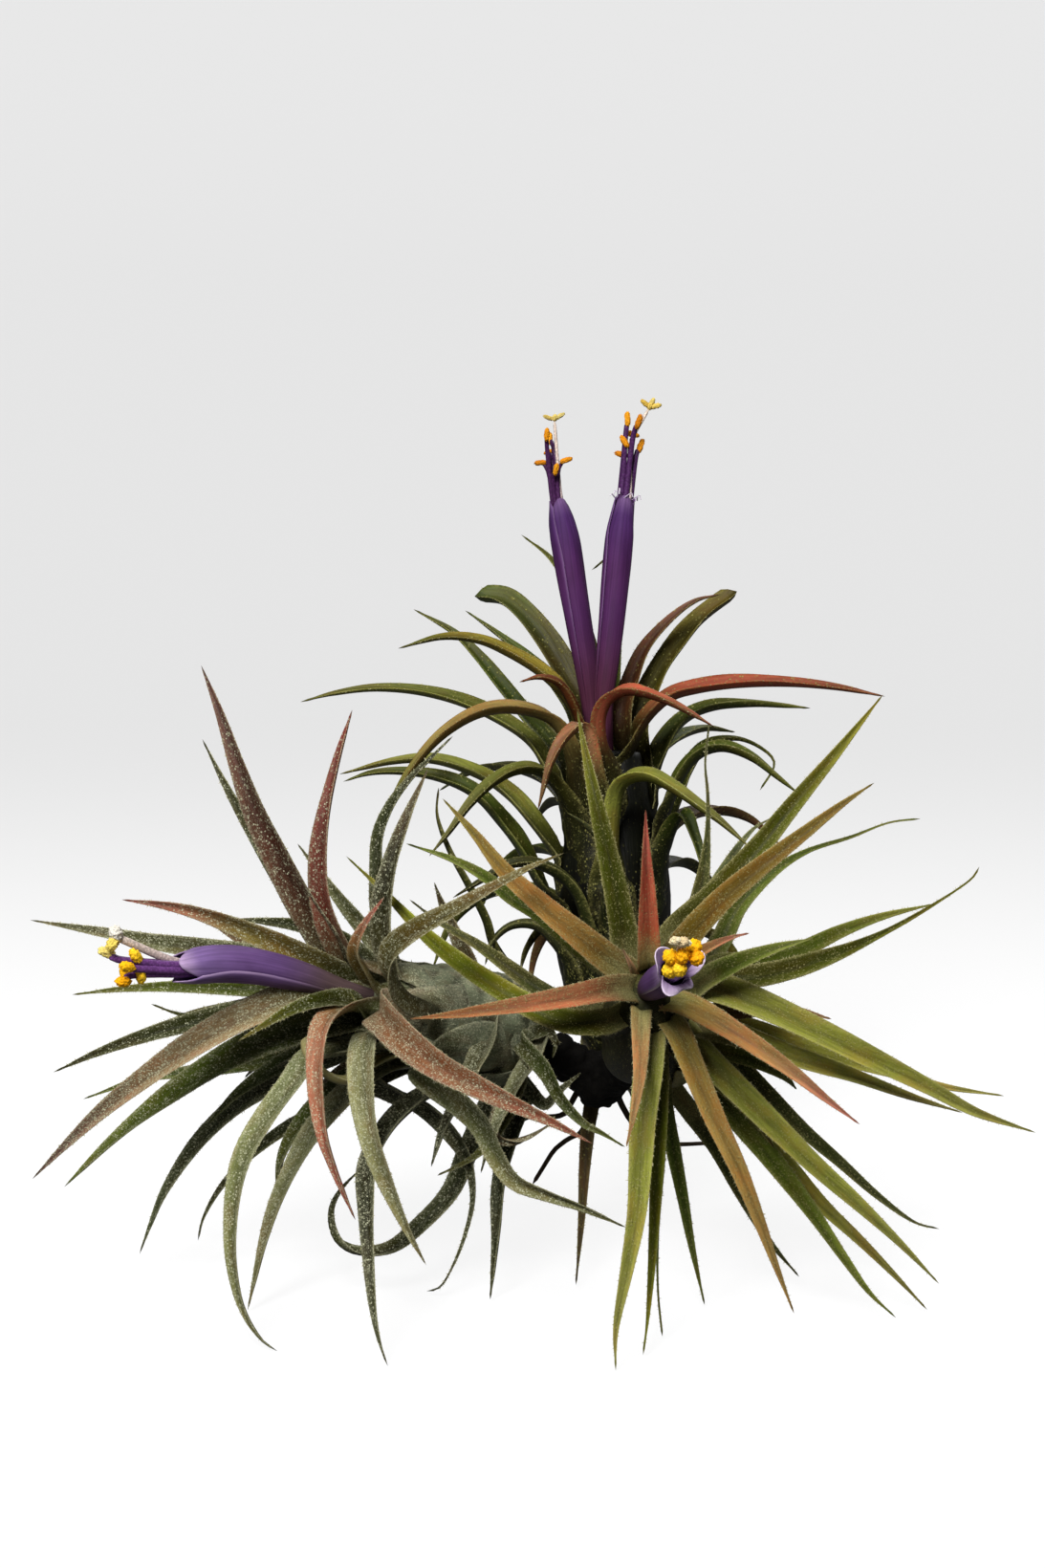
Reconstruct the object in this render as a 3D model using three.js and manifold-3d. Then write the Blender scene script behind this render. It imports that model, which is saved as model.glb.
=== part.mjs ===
// Sky plant: a flowering clump of three air plant rosettes joined at a short woody stem.
// Millimetres, +Z up. The clump stands on its low leaf tips, its front toward -Y.

import * as THREE from 'three';
import Module from 'manifold-3d';

const wasm = await Module();
wasm.setup();

// Driving dimensions
const LEAF_THICKNESS = 1.0;
const FACE_TURN = { back: 0.3, left: 0.32, right: 0 };
const SHEATH_WIDTH = 7.5;
const BULB_RADIUS = { back: 10.5, left: 10.0, right: 9.5 };
const COROLLA_WALL = 0.6;
const COROLLA_GAP = 0.3;
const FILAMENT_RADIUS = 0.23;
const STYLE_RADIUS = 0.23;
const BUNDLE_RADIUS = 0.9;
const STEM_GAP = 0.6;
const ANTHER_RADIUS = 0.68;
const ROOT_RADIUS = 0.6;

// Leaves on the unseen side of each rosette: how many, which way, how wide the fan is,
// how long they are and how far they lean out where they leave the bulb
const HIDDEN_LEAVES = {
  back: { count: 16, facing: [0, 1, 0], spread: 0.95, lengths: [32, 40], lean: 0.8, seed: 71 },
  left: { count: 10, facing: [-0.1, 1, -0.7], spread: 0.7, lengths: [32, 42], lean: 0.5, seed: 72 },
  right: { count: 5, facing: [0.5, 0.8, -0.8], spread: 0.6, lengths: [22, 30], lean: 0.5, seed: 73 },
};

// The measuring frame: across, up and toward the viewer, in millimetres from the heart
// of the clump, seen one metre away from 15 degrees above the level.
const SIGHT = 1000;
const SIGHT_TILT = 15 * Math.PI / 180;
const VIEW_CENTRE = [-12.8, 44.6];

const ACROSS = new THREE.Vector3(1, 0, 0);
const UP = new THREE.Vector3(0, Math.sin(SIGHT_TILT), Math.cos(SIGHT_TILT));
const TOWARD = new THREE.Vector3(0, -Math.cos(SIGHT_TILT), Math.sin(SIGHT_TILT));

function place([across, up, toward]) {
  const k = 1 - toward / SIGHT;
  const a = VIEW_CENTRE[0] + (across - VIEW_CENTRE[0]) * k;
  const b = VIEW_CENTRE[1] + (up - VIEW_CENTRE[1]) * k;
  return new THREE.Vector3()
    .addScaledVector(ACROSS, a)
    .addScaledVector(UP, b)
    .addScaledVector(TOWARD, toward);
}

// Rosette axes, from the stem end to the crown
const AXES = {
  back: [[3, 0, -13], [1, 54, -20]],
  left: [[-12, 4, -2], [-39, 10.5, 20]],
  right: [[7.7, 0.8, 5], [8.3, 12, 38]],
};

// Leaves of the upright rosette: width, then points from where the blade is first seen
// to its tip.
const BACK_LEAVES = [
  [4.4, [[-8, 46, -17], [-12, 52, -19], [-20, 56.8, -22], [-28, 59.3, -25], [-36, 60, -27],
    [-43, 59.2, -28], [-48.5, 57.8, -28]]],
  [4.8, [[-5, 50, -14], [-8, 55, -11], [-14, 56.8, -8], [-20, 56, -5], [-26, 52.3, -3],
    [-31, 46.5, -1], [-34.3, 41, 0], [-36.3, 37.8, 1]]],
  [4.8, [[-7, 33, -17], [-11, 38.5, -18], [-15, 43, -20], [-20, 46.3, -21], [-27, 48.5, -22],
    [-34, 48.2, -23], [-42.2, 46.2, -23]]],
  [5.2, [[-10, 29, -11], [-13, 34.5, -9], [-16, 38.5, -9], [-20, 42.8, -9], [-25, 45.3, -10],
    [-31, 46.5, -11], [-37, 46.4, -12], [-41.6, 45, -13]]],
  [4.4, [[-7, 44, -9], [-10, 46.8, -6], [-14, 46.8, -3], [-18, 44.5, -1], [-21.5, 41, 1],
    [-24.5, 37, 2], [-27.8, 33, 3]]],
  [3.0, [[-12, 12, -10], [-17, 18, -6], [-18.7, 23, -3], [-21.5, 28.5, -1], [-24.5, 34, 0],
    [-26.5, 39.5, 1], [-26.3, 44, 1]]],
  [5.4, [[-3, 56, -22], [-6, 62, -24], [-9, 67, -26], [-12.5, 71.5, -28], [-16, 74.3, -30],
    [-20.5, 74.8, -31]]],
  [3.8, [[-4, 54, -24], [-8, 61, -28], [-12, 65, -31], [-15.5, 67.7, -33], [-18.5, 70, -34],
    [-22, 72.5, -35]]],
  [4.4, [[-7, 49, -22], [-12, 55, -26], [-16, 60, -29], [-20, 65, -32], [-24, 69, -34],
    [-30.3, 72.7, -36]]],
  [4.6, [[-4, 55, -16], [-6.5, 59.5, -15], [-10, 62.8, -14], [-15, 65.8, -13], [-20, 67.8, -12],
    [-26, 68.2, -11], [-32.8, 66.4, -10]]],
  [3.8, [[-3.5, 54, -15], [-5, 58, -13], [-7, 60.8, -11], [-10, 61.8, -9], [-13.3, 61, -8]]],
  [3.8, [[-1, 57, -27], [-2, 66, -31], [-4.5, 74, -33], [-8, 80.5, -34], [-13, 84.7, -34]]],
  [3.2, [[1.5, 57, -27], [2.2, 68, -32], [2.7, 77, -35], [1.4, 81, -35], [-1.7, 79, -34]]],
  [4.2, [[3.5, 56, -20], [4.8, 61, -23], [7, 66.3, -25], [11, 71, -27], [15, 74, -28],
    [19, 75.1, -28]]],
  [4.6, [[6, 54, -24], [8.5, 61, -27], [12, 66.5, -30], [16, 71.3, -33], [21.7, 75.6, -35]]],
  [5.0, [[4, 49, -16], [6.5, 54.5, -14], [10.5, 58.5, -14], [15, 60, -15], [22, 60.9, -15],
    [30, 60.9, -15], [38, 60.1, -15], [45.5, 58.7, -15]]],
  [4.6, [[0.5, 48, -10], [-0.3, 54, -9], [0.7, 57.8, -7], [3.5, 59.6, -5], [7, 59.2, -3],
    [11, 57.7, -1], [15, 55.6, 1], [18, 53.8, 2]]],
  [4.6, [[8, 46, -20], [10.3, 51.5, -22], [13.5, 55.3, -24], [18, 57.2, -26], [24, 57.6, -27],
    [29, 57.3, -28], [33.5, 56.8, -28]]],
  [4.8, [[10, 40, -14], [12.5, 46, -13], [15.5, 49.5, -12], [19.5, 50.6, -11], [24, 49, -10],
    [28, 46, -9], [31.8, 42.9, -9]]],
  [4.0, [[11, 40, -22], [14, 47, -25], [17, 51, -27], [21.5, 52, -28], [25.5, 50.5, -29],
    [27.7, 47.8, -29], [25.4, 43.6, -29]]],
  [5.6, [[1.5, 30, -7], [2, 40, -5], [3.3, 44.8, -2], [7, 46, 2], [11, 44.2, 4], [15, 41.5, 6],
    [19.5, 38.2, 8], [24, 34.2, 9]]],
  [4.4, [[-1.8, 46, -9], [-2.2, 51, -7], [-3.4, 53.8, -5], [-5.8, 52.2, -3], [-8.2, 48, -2],
    [-10.3, 40.5, -1]]],
  [3.0, [[1, 25, -4], [0, 34, 0], [-2.2, 37.7, 3], [-5.6, 40, 5]]],
  [3.8, [[10.5, 36, -10], [12.8, 39.8, -6], [14.8, 36, -4], [16, 32, -3], [17, 27, -2]]],
  [3.4, [[-6, 17, -8], [-10, 21.5, -6], [-14.5, 21.8, -5], [-17.8, 19, -4], [-18.8, 15.5, -4]]],
  [3.4, [[-5, 17, -11], [-9, 21.5, -11], [-12, 18.5, -11], [-13.3, 14, -11]]],
  [4.6, [[-2, 20, -4], [-4, 27, -1], [-8.5, 31, 1], [-14, 31.8, 2], [-19.5, 29, 2], [-24, 26.3, 2]]],
  [3.0, [[-1.5, -5, -13], [-2.2, -11, -11], [-2.8, -18, -8], [-3.3, -26, -4], [-4.2, -36, 1]]],
  [4.6, [[5, -3, -24], [6, -6, -34], [6.3, -10, -44], [6.3, -14, -49.5], [6.2, -18.5, -53.7]]],
];

// Leaves of the rosette that leans to the left
const LEFT_LEAVES = [
  [6.0, [[-41, 11, 21], [-46, 11, 26], [-52, 9.3, 29], [-59, 6.3, 30], [-66, 2.3, 29],
    [-73, -2.5, 27], [-80, -7.8, 23], [-86, -13.3, 19], [-91.7, -19, 14]]],
  [6.0, [[-41, 6.5, 20], [-47, 5.5, 22], [-53, 3.6, 22], [-60, 0.4, 20], [-67, -4, 17],
    [-74, -9, 13], [-80, -14, 9], [-86.5, -20.2, 5]]],
  [4.6, [[-40, 2, 15], [-47, -0.5, 14], [-53, -3.6, 12], [-59, -7.5, 9], [-65, -13.3, 6],
    [-70, -20.5, 3], [-72.6, -26.3, 1], [-74.4, -31, 0]]],
  [3.2, [[-38, -4, 8], [-44, -8, 6], [-50, -10.5, 4], [-56, -14.8, 2], [-61, -20, 0],
    [-64, -25, -1], [-65, -28.8, -2]]],
  [5.2, [[-41, 2, 22], [-46.5, 0.5, 26], [-50, -4, 28], [-54, -9.5, 30], [-57.4, -15.5, 31],
    [-59, -22, 31], [-59.5, -30, 31], [-58.6, -37, 30], [-57, -41.5, 29.5], [-54.6, -45, 29],
    [-52.3, -46.6, 28.8]]],
  [4.8, [[-37, -2, 13], [-42, -6.5, 13], [-46.3, -11.5, 12], [-49.5, -17, 11], [-52.3, -23, 11],
    [-54.3, -29, 11], [-55.8, -35, 11], [-57, -40, 11]]],
  [5.0, [[-39.5, 9, 24], [-42.8, 8, 29], [-45, 5, 33], [-45.7, 0, 35], [-45.5, -6, 36],
    [-44.7, -12, 36], [-43, -17.5, 35], [-41.3, -21.8, 34], [-39.7, -25.5, 33]]],
  [5.6, [[-37, 5, 22], [-38, 2.5, 27], [-38.3, -2, 30], [-38, -7, 30], [-36.8, -13, 30],
    [-34.3, -20, 28], [-31.3, -27, 26], [-28.3, -32.8, 24]]],
  [4.8, [[-24, -3, 10], [-30, -6.5, 15], [-34.5, -11, 20], [-37.4, -17, 25], [-37.6, -24, 29],
    [-37.3, -32, 32], [-36.7, -40, 34], [-35.8, -45, 35], [-34.5, -49, 35.3]]],
  [4.2, [[-18, -7, 4], [-21, -14, 4], [-24, -21, 4], [-29, -26.5, 5], [-34, -30.3, 6],
    [-39.5, -30.6, 7], [-43, -28, 7], [-43.7, -24, 6], [-42, -20.5, 5], [-38.5, -17, 4]]],
  [4.4, [[-37, -2.5, 12], [-33, -5.3, 12], [-28.5, -7.3, 11], [-24.5, -11, 10], [-21.5, -16, 9],
    [-20.7, -22, 8], [-22, -28, 7], [-24, -33, 6], [-26, -36.3, 5], [-28.2, -37, 4]]],
  [4.2, [[-12, -5, 3], [-14.5, -12, 4], [-16.3, -20, 5], [-16.8, -27, 6], [-17.5, -34, 6.5],
    [-18, -38.3, 7]]],
  [5.0, [[-27, 1.5, 22], [-29, -1, 27], [-27, -3.3, 30], [-23, -6.5, 31], [-19.3, -10.3, 31],
    [-17, -15, 31], [-14, -19.2, 31], [-9, -21.4, 31], [-3, -23.6, 30], [4, -26.8, 28]]],
  [6.4, [[-36, 8.5, 27], [-34.5, 6.5, 33], [-31, 3, 38], [-26, -0.8, 41], [-20, -4, 43],
    [-14, -7, 44], [-8, -9.8, 44], [-1.5, -13.3, 44]]],
  [5.6, [[-29, 9, 30], [-32, 10.5, 36], [-34, 13.5, 41], [-33.8, 17.5, 44], [-30, 20.8, 47],
    [-24.5, 23.8, 48], [-18.5, 27.3, 49], [-12, 30.9, 49], [-6.1, 33.5, 48]]],
  [5.4, [[-40, 16, 23], [-43, 20.5, 27], [-44.8, 26, 29], [-45.2, 32, 30], [-44.7, 38, 30],
    [-43.6, 44, 29], [-42, 50.5, 27], [-40.2, 56.5, 25]]],
  [6.4, [[-41, 15, 22], [-44.5, 20, 25], [-48.3, 26, 27], [-52, 33, 28], [-55.5, 40, 28],
    [-58.4, 47.5, 27], [-61.3, 55.8, 25], [-64.5, 63.7, 22]]],
  [4.0, [[-40, 14, 16], [-46, 21.5, 17], [-51.5, 29.5, 17], [-56.5, 37.5, 16], [-60.5, 44.5, 15],
    [-64.3, 51.8, 13]]],
  [3.6, [[-34, 16, 8], [-38, 21.2, 8], [-42, 26, 8], [-45.5, 30.5, 7], [-49, 35, 6]]],
  [5.0, [[-41.5, 13.5, 21], [-46, 15.8, 25], [-52, 18.8, 28], [-58, 21.4, 29], [-65, 23.9, 29],
    [-71, 25.2, 27], [-77.3, 26, 25]]],
  [3.8, [[-36, 15, 8], [-42, 19.6, 6], [-48, 21.7, 4], [-54, 22.5, 2], [-60, 22.9, 0]]],
  [4.6, [[-41, 12.5, 16], [-48, 15, 16], [-56, 16.8, 15], [-64, 18, 13], [-72, 19.1, 10],
    [-80, 20.6, 7], [-92, 22.7, 3]]],
  [3.4, [[-41, 11, 16], [-49, 11.3, 17], [-58, 11.7, 16], [-67, 12, 14], [-76, 11.7, 11],
    [-85.3, 10.7, 8]]],
  [4.6, [[-41, 9.5, 15], [-49, 9.6, 16], [-57, 8.1, 15], [-65, 6.4, 13], [-73, 4.2, 11],
    [-81, 1.4, 8], [-88.3, -1.8, 5]]],
  [2.6, [[-40, 8, 10], [-50, 8.6, 9], [-60, 8, 7], [-67, 7.4, 6], [-72.6, 9.2, 5]]],
  [4.0, [[-41, 9.8, 24], [-45.5, 9.6, 29], [-50, 8.2, 32], [-54.3, 5.8, 34], [-58.6, 3.2, 35]]],
  [3.6, [[-40, 5, 13], [-50, 1, 12], [-58, -0.6, 10], [-66, -1.7, 8], [-74, -2.9, 6],
    [-83.5, -6.1, 3]]],
  [4.0, [[-36.5, 12, 24], [-38.4, 14.6, 29], [-39.8, 17.6, 33], [-38.6, 21.3, 35], [-35, 26.5, 36]]],
  [4.8, [[-33.5, 15, 20], [-35, 20, 23], [-35, 25.5, 24], [-34, 31, 24], [-32.3, 36.5, 23],
    [-30.4, 41.5, 22], [-28, 47, 20]]],
  [3.4, [[-33, 15, 10], [-35.5, 23, 9], [-36, 30, 8.5], [-35.9, 36, 8], [-34, 41, 8],
    [-31, 45.2, 8], [-27.8, 48.5, 7], [-24, 52.3, 6]]],
  [4.0, [[-20, 14, 5], [-23, 20, 7], [-25.5, 25, 8], [-27, 28.8, 9]]],
  [3.4, [[-13, 3, 11], [-9, -1.5, 15], [-6.5, -6, 18], [-3, -9.8, 20], [0, -11.5, 21],
    [3.7, -13.8, 21]]],
  [3.0, [[-13, -4, 7], [-17, -12, 9], [-21, -15.8, 10], [-26.5, -18.4, 10]]],
  [4.0, [[-9, 5, 8], [-10.8, 0.8, 11], [-13.8, -3.8, 14], [-16.2, -8.5, 16], [-18, -13, 17],
    [-19.5, -18, 17]]],
  [4.4, [[-17.5, 5.5, 12], [-19, 2, 16], [-20.5, -1, 18], [-23, -6, 19], [-25.5, -11, 19],
    [-27.5, -17, 18]]],
  [3.0, [[-12, -4, 4], [-9, -7, 6], [-7, -5, 7], [-4.8, -3, 7], [-3.4, -1.8, 6]]],
  [3.4, [[-12, 3, 6], [-10.5, 4.5, 10], [-8.5, 5, 11], [-7.4, 3, 12], [-8, 0.5, 11]]],
  [3.0, [[-13, -2, 10], [-17, -9, 13], [-16.5, -12.4, 14], [-13, -12.7, 15], [-8, -10, 15]]],
  [2.6, [[-38, 7.5, 21], [-39.2, 8.8, 25], [-40.6, 11.2, 28]]],
  [2.2, [[-38.5, -1.5, 20], [-40.8, -3.2, 25], [-43.8, -2.4, 28], [-46.8, 0, 30], [-48, 2.4, 31],
    [-47.2, 4, 31.5]]],
];

// Leaves of the rosette that faces the viewer
const RIGHT_LEAVES = [
  [4.7, [[4, 14, 29], [3.6, 19, 32], [2.5, 26, 34], [0.8, 34, 35], [-1, 42, 35], [-2.7, 50, 33],
    [-4, 56.5, 31]]],
  [4.0, [[7.6, 16, 36], [7.4, 22, 40], [7.2, 29, 44], [7, 35, 47], [7, 40.5, 49]]],
  [4.6, [[9.5, 16, 26], [12, 21, 28], [18, 26.5, 29], [25, 34, 28], [31, 41.5, 26], [38, 50, 22],
    [45.2, 59, 17]]],
  [4.6, [[10.5, 15, 32], [14, 20, 36], [19.5, 26, 38], [26, 31.5, 39], [33, 37, 38], [39, 41.6, 36],
    [43.8, 44.8, 34]]],
  [3.8, [[14, 12, 15], [19, 19, 13], [22, 25, 11], [27, 30, 9], [33, 33.7, 7], [40, 36, 5],
    [46, 38.3, 3], [51.2, 39, 2]]],
  [3.4, [[12, 14, 10], [16, 24, 5], [20, 31.5, 2], [24, 37, 0], [27.5, 39.2, -1]]],
  [3.4, [[11, 13, 18], [14.5, 22, 18], [16.3, 30, 18], [17, 37, 17.5], [17, 43, 17], [16.6, 48, 16],
    [17.2, 54, 15]]],
  [4.2, [[13, 12.5, 28], [17.5, 14, 31], [23, 13.3, 31], [30, 14.6, 29], [38, 17.3, 26],
    [46, 21, 22], [53, 25, 18], [59, 29, 14], [60.7, 31.3, 12]]],
  [4.0, [[14, 13, 20], [19, 15.3, 21], [25, 15.3, 20], [31, 17.2, 17], [38, 20.6, 13],
    [45, 23.2, 10], [53.5, 25.3, 7]]],
  [5.1, [[13, 12, 31], [19, 11.5, 34], [27, 8.3, 35], [36, 4, 34], [44, 0, 31], [52, -4, 28],
    [60, -8.2, 24], [69.8, -11.5, 19]]],
  [3.8, [[14, 8, 20], [24, 5, 20], [36, 1, 18], [46, -1.8, 15], [55, -4.2, 12], [64.7, -5.6, 9]]],
  [4.2, [[14, 7, 26], [22, 4, 28], [31, 0.5, 28], [40, -2.4, 26], [49, -5.6, 23], [58, -8.3, 20]]],
  [4.4, [[10.5, 9.5, 35], [14, 8.7, 40], [19, 6, 43], [25, 2.2, 45], [31, -2, 46], [36, -6, 46],
    [41.5, -10.2, 46]]],
  [4.7, [[12, 6, 30], [16, 1, 33], [21, -4, 34], [27, -10, 33], [34, -16.8, 31], [41, -23, 28],
    [48, -29.5, 24], [54.2, -35.8, 20]]],
  [4.0, [[13, 2, 20], [20, -6, 22], [28, -15, 22], [35, -23, 20], [41, -28.6, 18], [47, -34.5, 15],
    [52.3, -40, 12]]],
  [3.4, [[14, 5, 16], [20, 1, 16], [26, -5, 15], [32, -11, 13], [38, -16.2, 10], [44, -21.5, 7],
    [50, -25.8, 5], [54.3, -27, 4]]],
  [4.3, [[12, 3, 26], [16, -2, 28], [21, -8.5, 28], [27, -15.7, 26], [33, -23.5, 23], [39, -32, 19],
    [43, -37.3, 16.5], [47.3, -41.3, 14.3]]],
  [4.1, [[10.5, 7, 34], [12.5, 4, 38], [15, -2, 41], [18.2, -9.5, 41], [22, -17.5, 39],
    [25.2, -25.5, 36], [28, -33, 33], [30.9, -40.6, 30]]],
  [3.3, [[11, -4, 10], [14, -8, 10], [18, -13.5, 8], [22, -21, 6], [26.5, -28.5, 4],
    [31.7, -34.7, 2]]],
  [4.8, [[7.8, 5.5, 33], [7.5, -1, 38], [6.6, -9, 40], [6.2, -17, 41], [5.6, -25, 41], [4, -34, 40],
    [2.3, -43, 38.5], [2.2, -49.8, 37.4]]],
  [3.4, [[6.2, 8, 37], [6.2, 3, 42], [6, -3, 46], [5, -9, 48], [3.9, -13.8, 49]]],
  [3.0, [[9, 5, 28], [9.3, -3, 31], [9.2, -11, 32], [8.8, -19, 33], [8.4, -27, 33], [7.9, -35, 33],
    [7.3, -42, 32], [6.6, -47.3, 31.5]]],
  [2.4, [[9.5, -2, 24], [9.2, -15, 26], [8.9, -28, 26], [9, -37, 25], [9.7, -44.3, 24]]],
  [3.0, [[9.5, 1, 18], [10, -7, 20], [11.4, -14, 19], [13, -22, 17], [14.4, -29.5, 14],
    [16.5, -39.2, 10]]],
  [4.6, [[5, 11.5, 35], [1, 11.4, 40], [-4, 10.4, 43], [-10, 9.3, 45], [-17, 8.3, 46],
    [-24, 7.4, 46], [-31, 6.8, 45]]],
  [4.3, [[4, 8, 31], [0, 6.4, 36], [-5, 6.2, 38], [-10, 7.8, 38], [-16, 11.2, 36], [-22, 15.2, 32],
    [-28, 20, 25], [-34.5, 26.6, 16.5], [-41.2, 33, 13]]],
  [3.4, [[2, 9, 20], [-5, 9, 21], [-10, 11.4, 21], [-15, 15, 19], [-20, 18.6, 16], [-26, 22.2, 13],
    [-31, 26, 11]]],
  [5.0, [[5, 13.5, 34], [1, 16.2, 37], [-5, 21, 40], [-10, 25.2, 41], [-15.5, 30.2, 41],
    [-20.5, 36.5, 40], [-25.7, 42.3, 38]]],
  [3.2, [[12, 14.5, 36], [15, 16.8, 41], [18, 18.6, 45], [21, 19.9, 48], [23.7, 20.6, 50]]],
  [3.4, [[3, 13.5, 28], [-3, 17.5, 31], [-10, 23.3, 32], [-14.5, 26, 31], [-18.5, 29.3, 28],
    [-24, 32.3, 23], [-31.5, 35, 16]]],
  [2.6, [[5.4, 12, 30], [4.9, 14.8, 35], [3.3, 18.1, 38]]],
  [2.4, [[8.4, 10.2, 30], [9.2, 9.2, 35], [10.2, 7.6, 38]]],
];

// Flowers: rosette, widest radius, mouth radius, centre line from the crown to the mouth
const FLOWERS = [
  ['back', 2.5, 2.35, [[-1.4, 47, -21.5], [-1.8, 57, -21], [-2.5, 63, -20.5], [-3.7, 70, -20.5],
    [-4.9, 77, -21], [-6, 84, -21.5], [-7.2, 90, -22]]],
  ['back', 2.45, 2.35, [[1, 47, -16], [0.3, 57, -16], [0.9, 64, -16], [1.6, 71, -16.5],
    [2.2, 78, -17], [2.9, 85, -17.5], [3.7, 90.3, -18]]],
  ['left', 2.85, 2.45, [[-36.5, 10.3, 17], [-42, 11.6, 21.5], [-49, 13.7, 27], [-56, 15.2, 32],
    [-62, 15.6, 36], [-68, 15, 40]]],
  ['right', 2.8, 2.9, [[7, 11, 29], [7.2, 11.3, 34], [8.3, 12.2, 42], [9.8, 13.2, 50],
    [11.2, 14.2, 57], [12.2, 14.7, 63]]],
];

// Anther positions and stigma lobes of each flower
const ANTHERS = [
  [[-8.9, 100.8, -20.5], [-8.4, 100.2, -25], [-9.9, 96.3, -22.5], [-5.8, 96.7, -20.5],
    [-7.4, 95.2, -19], [-8.4, 98, -25.5]],
  [[3.6, 99.7, -17], [4.1, 103.3, -18.5], [5.9, 102.9, -15.5], [6.2, 99, -19], [4.8, 100.9, -20.5],
    [3.2, 97.6, -20]],
  [[-76.4, 15.2, 48], [-77, 12.8, 46], [-75, 16.9, 46], [-76.8, 14.4, 44], [-79.7, 17.5, 46],
    [-74.2, 13.8, 44.5]],
  [[11, 16.8, 72], [13, 16.9, 73], [12.5, 14.8, 71.5], [14.8, 18.4, 72], [15.2, 16.6, 72.5],
    [10.9, 14.6, 70]],
];
const STIGMAS = [
  [-7.7, 103.4, -22.3], [7.7, 105.3, -18.2], [-78.2, 20, 47.5], [12.6, 19.1, 75],
];

// Repeatable scatter
function makeRandom(seed) {
  let state = seed;
  return () => {
    state = (state * 16807) % 2147483647;
    return state / 2147483647;
  };
}

// Triangle lists
function shellOf(rings, startPoint, endPoint) {
  const points = [];
  const faces = [];
  const count = rings[0].length;
  rings.forEach((ring) => ring.forEach((p) => points.push(p)));
  for (let i = 0; i < rings.length - 1; i += 1) {
    for (let j = 0; j < count; j += 1) {
      const a = i * count + j;
      const b = i * count + ((j + 1) % count);
      faces.push([a, b, b + count]);
      faces.push([a, b + count, a + count]);
    }
  }
  const closeEnd = (ringStart, point, turned) => {
    if (point) {
      const apex = points.length;
      points.push(point);
      for (let j = 0; j < count; j += 1) {
        const a = ringStart + j;
        const b = ringStart + ((j + 1) % count);
        faces.push(turned ? [b, a, apex] : [a, b, apex]);
      }
    } else {
      for (let j = 1; j < count - 1; j += 1) {
        const a = ringStart;
        const b = ringStart + j;
        const c = ringStart + j + 1;
        faces.push(turned ? [a, c, b] : [a, b, c]);
      }
    }
  };
  closeEnd(0, startPoint, true);
  closeEnd((rings.length - 1) * count, endPoint, false);
  return solidOf(points, faces);
}

function solidOf(points, faces) {
  let volume = 0;
  const cross = new THREE.Vector3();
  faces.forEach(([a, b, c]) => {
    cross.crossVectors(points[b], points[c]);
    volume += points[a].dot(cross);
  });
  const triVerts = [];
  faces.forEach(([a, b, c]) => {
    if (volume > 0) {
      triVerts.push(a, b, c);
    } else {
      triVerts.push(a, c, b);
    }
  });
  const vertProperties = [];
  points.forEach((p) => vertProperties.push(p.x, p.y, p.z));
  const mesh = new wasm.Mesh({
    numProp: 3,
    vertProperties: Float32Array.from(vertProperties),
    triVerts: Uint32Array.from(triVerts),
  });
  return new wasm.Manifold(mesh);
}

function smoothCurve(points) {
  return new THREE.CatmullRomCurve3(points, false, 'catmullrom', 0.5);
}

// A blade: its half width, channel and thickness along the way from sheath to tip
function bladeStations(pointCount) {
  const count = THREE.MathUtils.clamp(pointCount - 3, 4, 7);
  const stations = [0, 0.09];
  for (let i = 1; i <= count; i += 1) {
    stations.push(0.09 + 0.82 * (i / count));
  }
  return stations;
}

function bladeHalfWidth(s, width, sheath) {
  const narrowing = Math.pow(Math.max(0, s - 0.12) / 0.88, 1.55);
  const blade = 0.5 * width * Math.pow(Math.max(0, 1 - narrowing), 0.95);
  const swell = Math.exp(-Math.pow((s - 0.06) / 0.13, 2));
  return Math.max(0.55, blade + (0.5 * sheath - blade) * swell);
}

function bladeChannel(s, halfWidth) {
  const fold = 0.25 + 0.45 * Math.min(1, s / 0.6);
  return halfWidth * fold;
}

function bladeFrames(curve, side, fractions) {
  return fractions.map((s) => {
    const point = curve.getPointAt(s);
    const along = curve.getTangentAt(s);
    const lateral = side.clone().addScaledVector(along, -side.dot(along)).normalize();
    const inward = new THREE.Vector3().crossVectors(along, lateral).normalize();
    return { point, lateral, inward, s };
  });
}

function blade(curve, side, width, sheath) {
  const stations = bladeStations(curve.points.length);
  const rings = bladeFrames(curve, side, stations).map(({ point, lateral, inward, s }) => {
    const half = bladeHalfWidth(s, width, sheath);
    const channel = bladeChannel(s, half);
    const thick = LEAF_THICKNESS * (1 - 0.25 * s);
    const at = (across, height) => point.clone()
      .addScaledVector(lateral, across)
      .addScaledVector(inward, height);
    return [
      at(half, 0.6 * channel),
      at(0, -0.4 * channel + 0.5 * thick),
      at(-half, 0.6 * channel),
      at(0, -0.4 * channel - 0.5 * thick),
    ];
  });
  return shellOf(rings, null, curve.getPointAt(1));
}

// A rosette axis with the bulb radius along it
function rosetteAxis(name) {
  const base = place(AXES[name][0]);
  const crown = place(AXES[name][1]);
  const direction = crown.clone().sub(base);
  const length = direction.length();
  direction.normalize();
  const bulb = (h) => {
    const u = THREE.MathUtils.clamp(h / length, 0, 1);
    const swell = Math.sin(Math.PI * Math.pow(0.16 + 0.84 * u, name === 'back' ? 0.95 : 0.8));
    const foot = 0.4 + 0.6 * Math.sin(Math.min(1, u / 0.26) * Math.PI / 2);
    return foot * BULB_RADIUS[name] * (0.34 + 0.66 * Math.pow(Math.max(0, swell), 0.6));
  };
  return { name, base, crown, direction, length, bulb };
}

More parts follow.
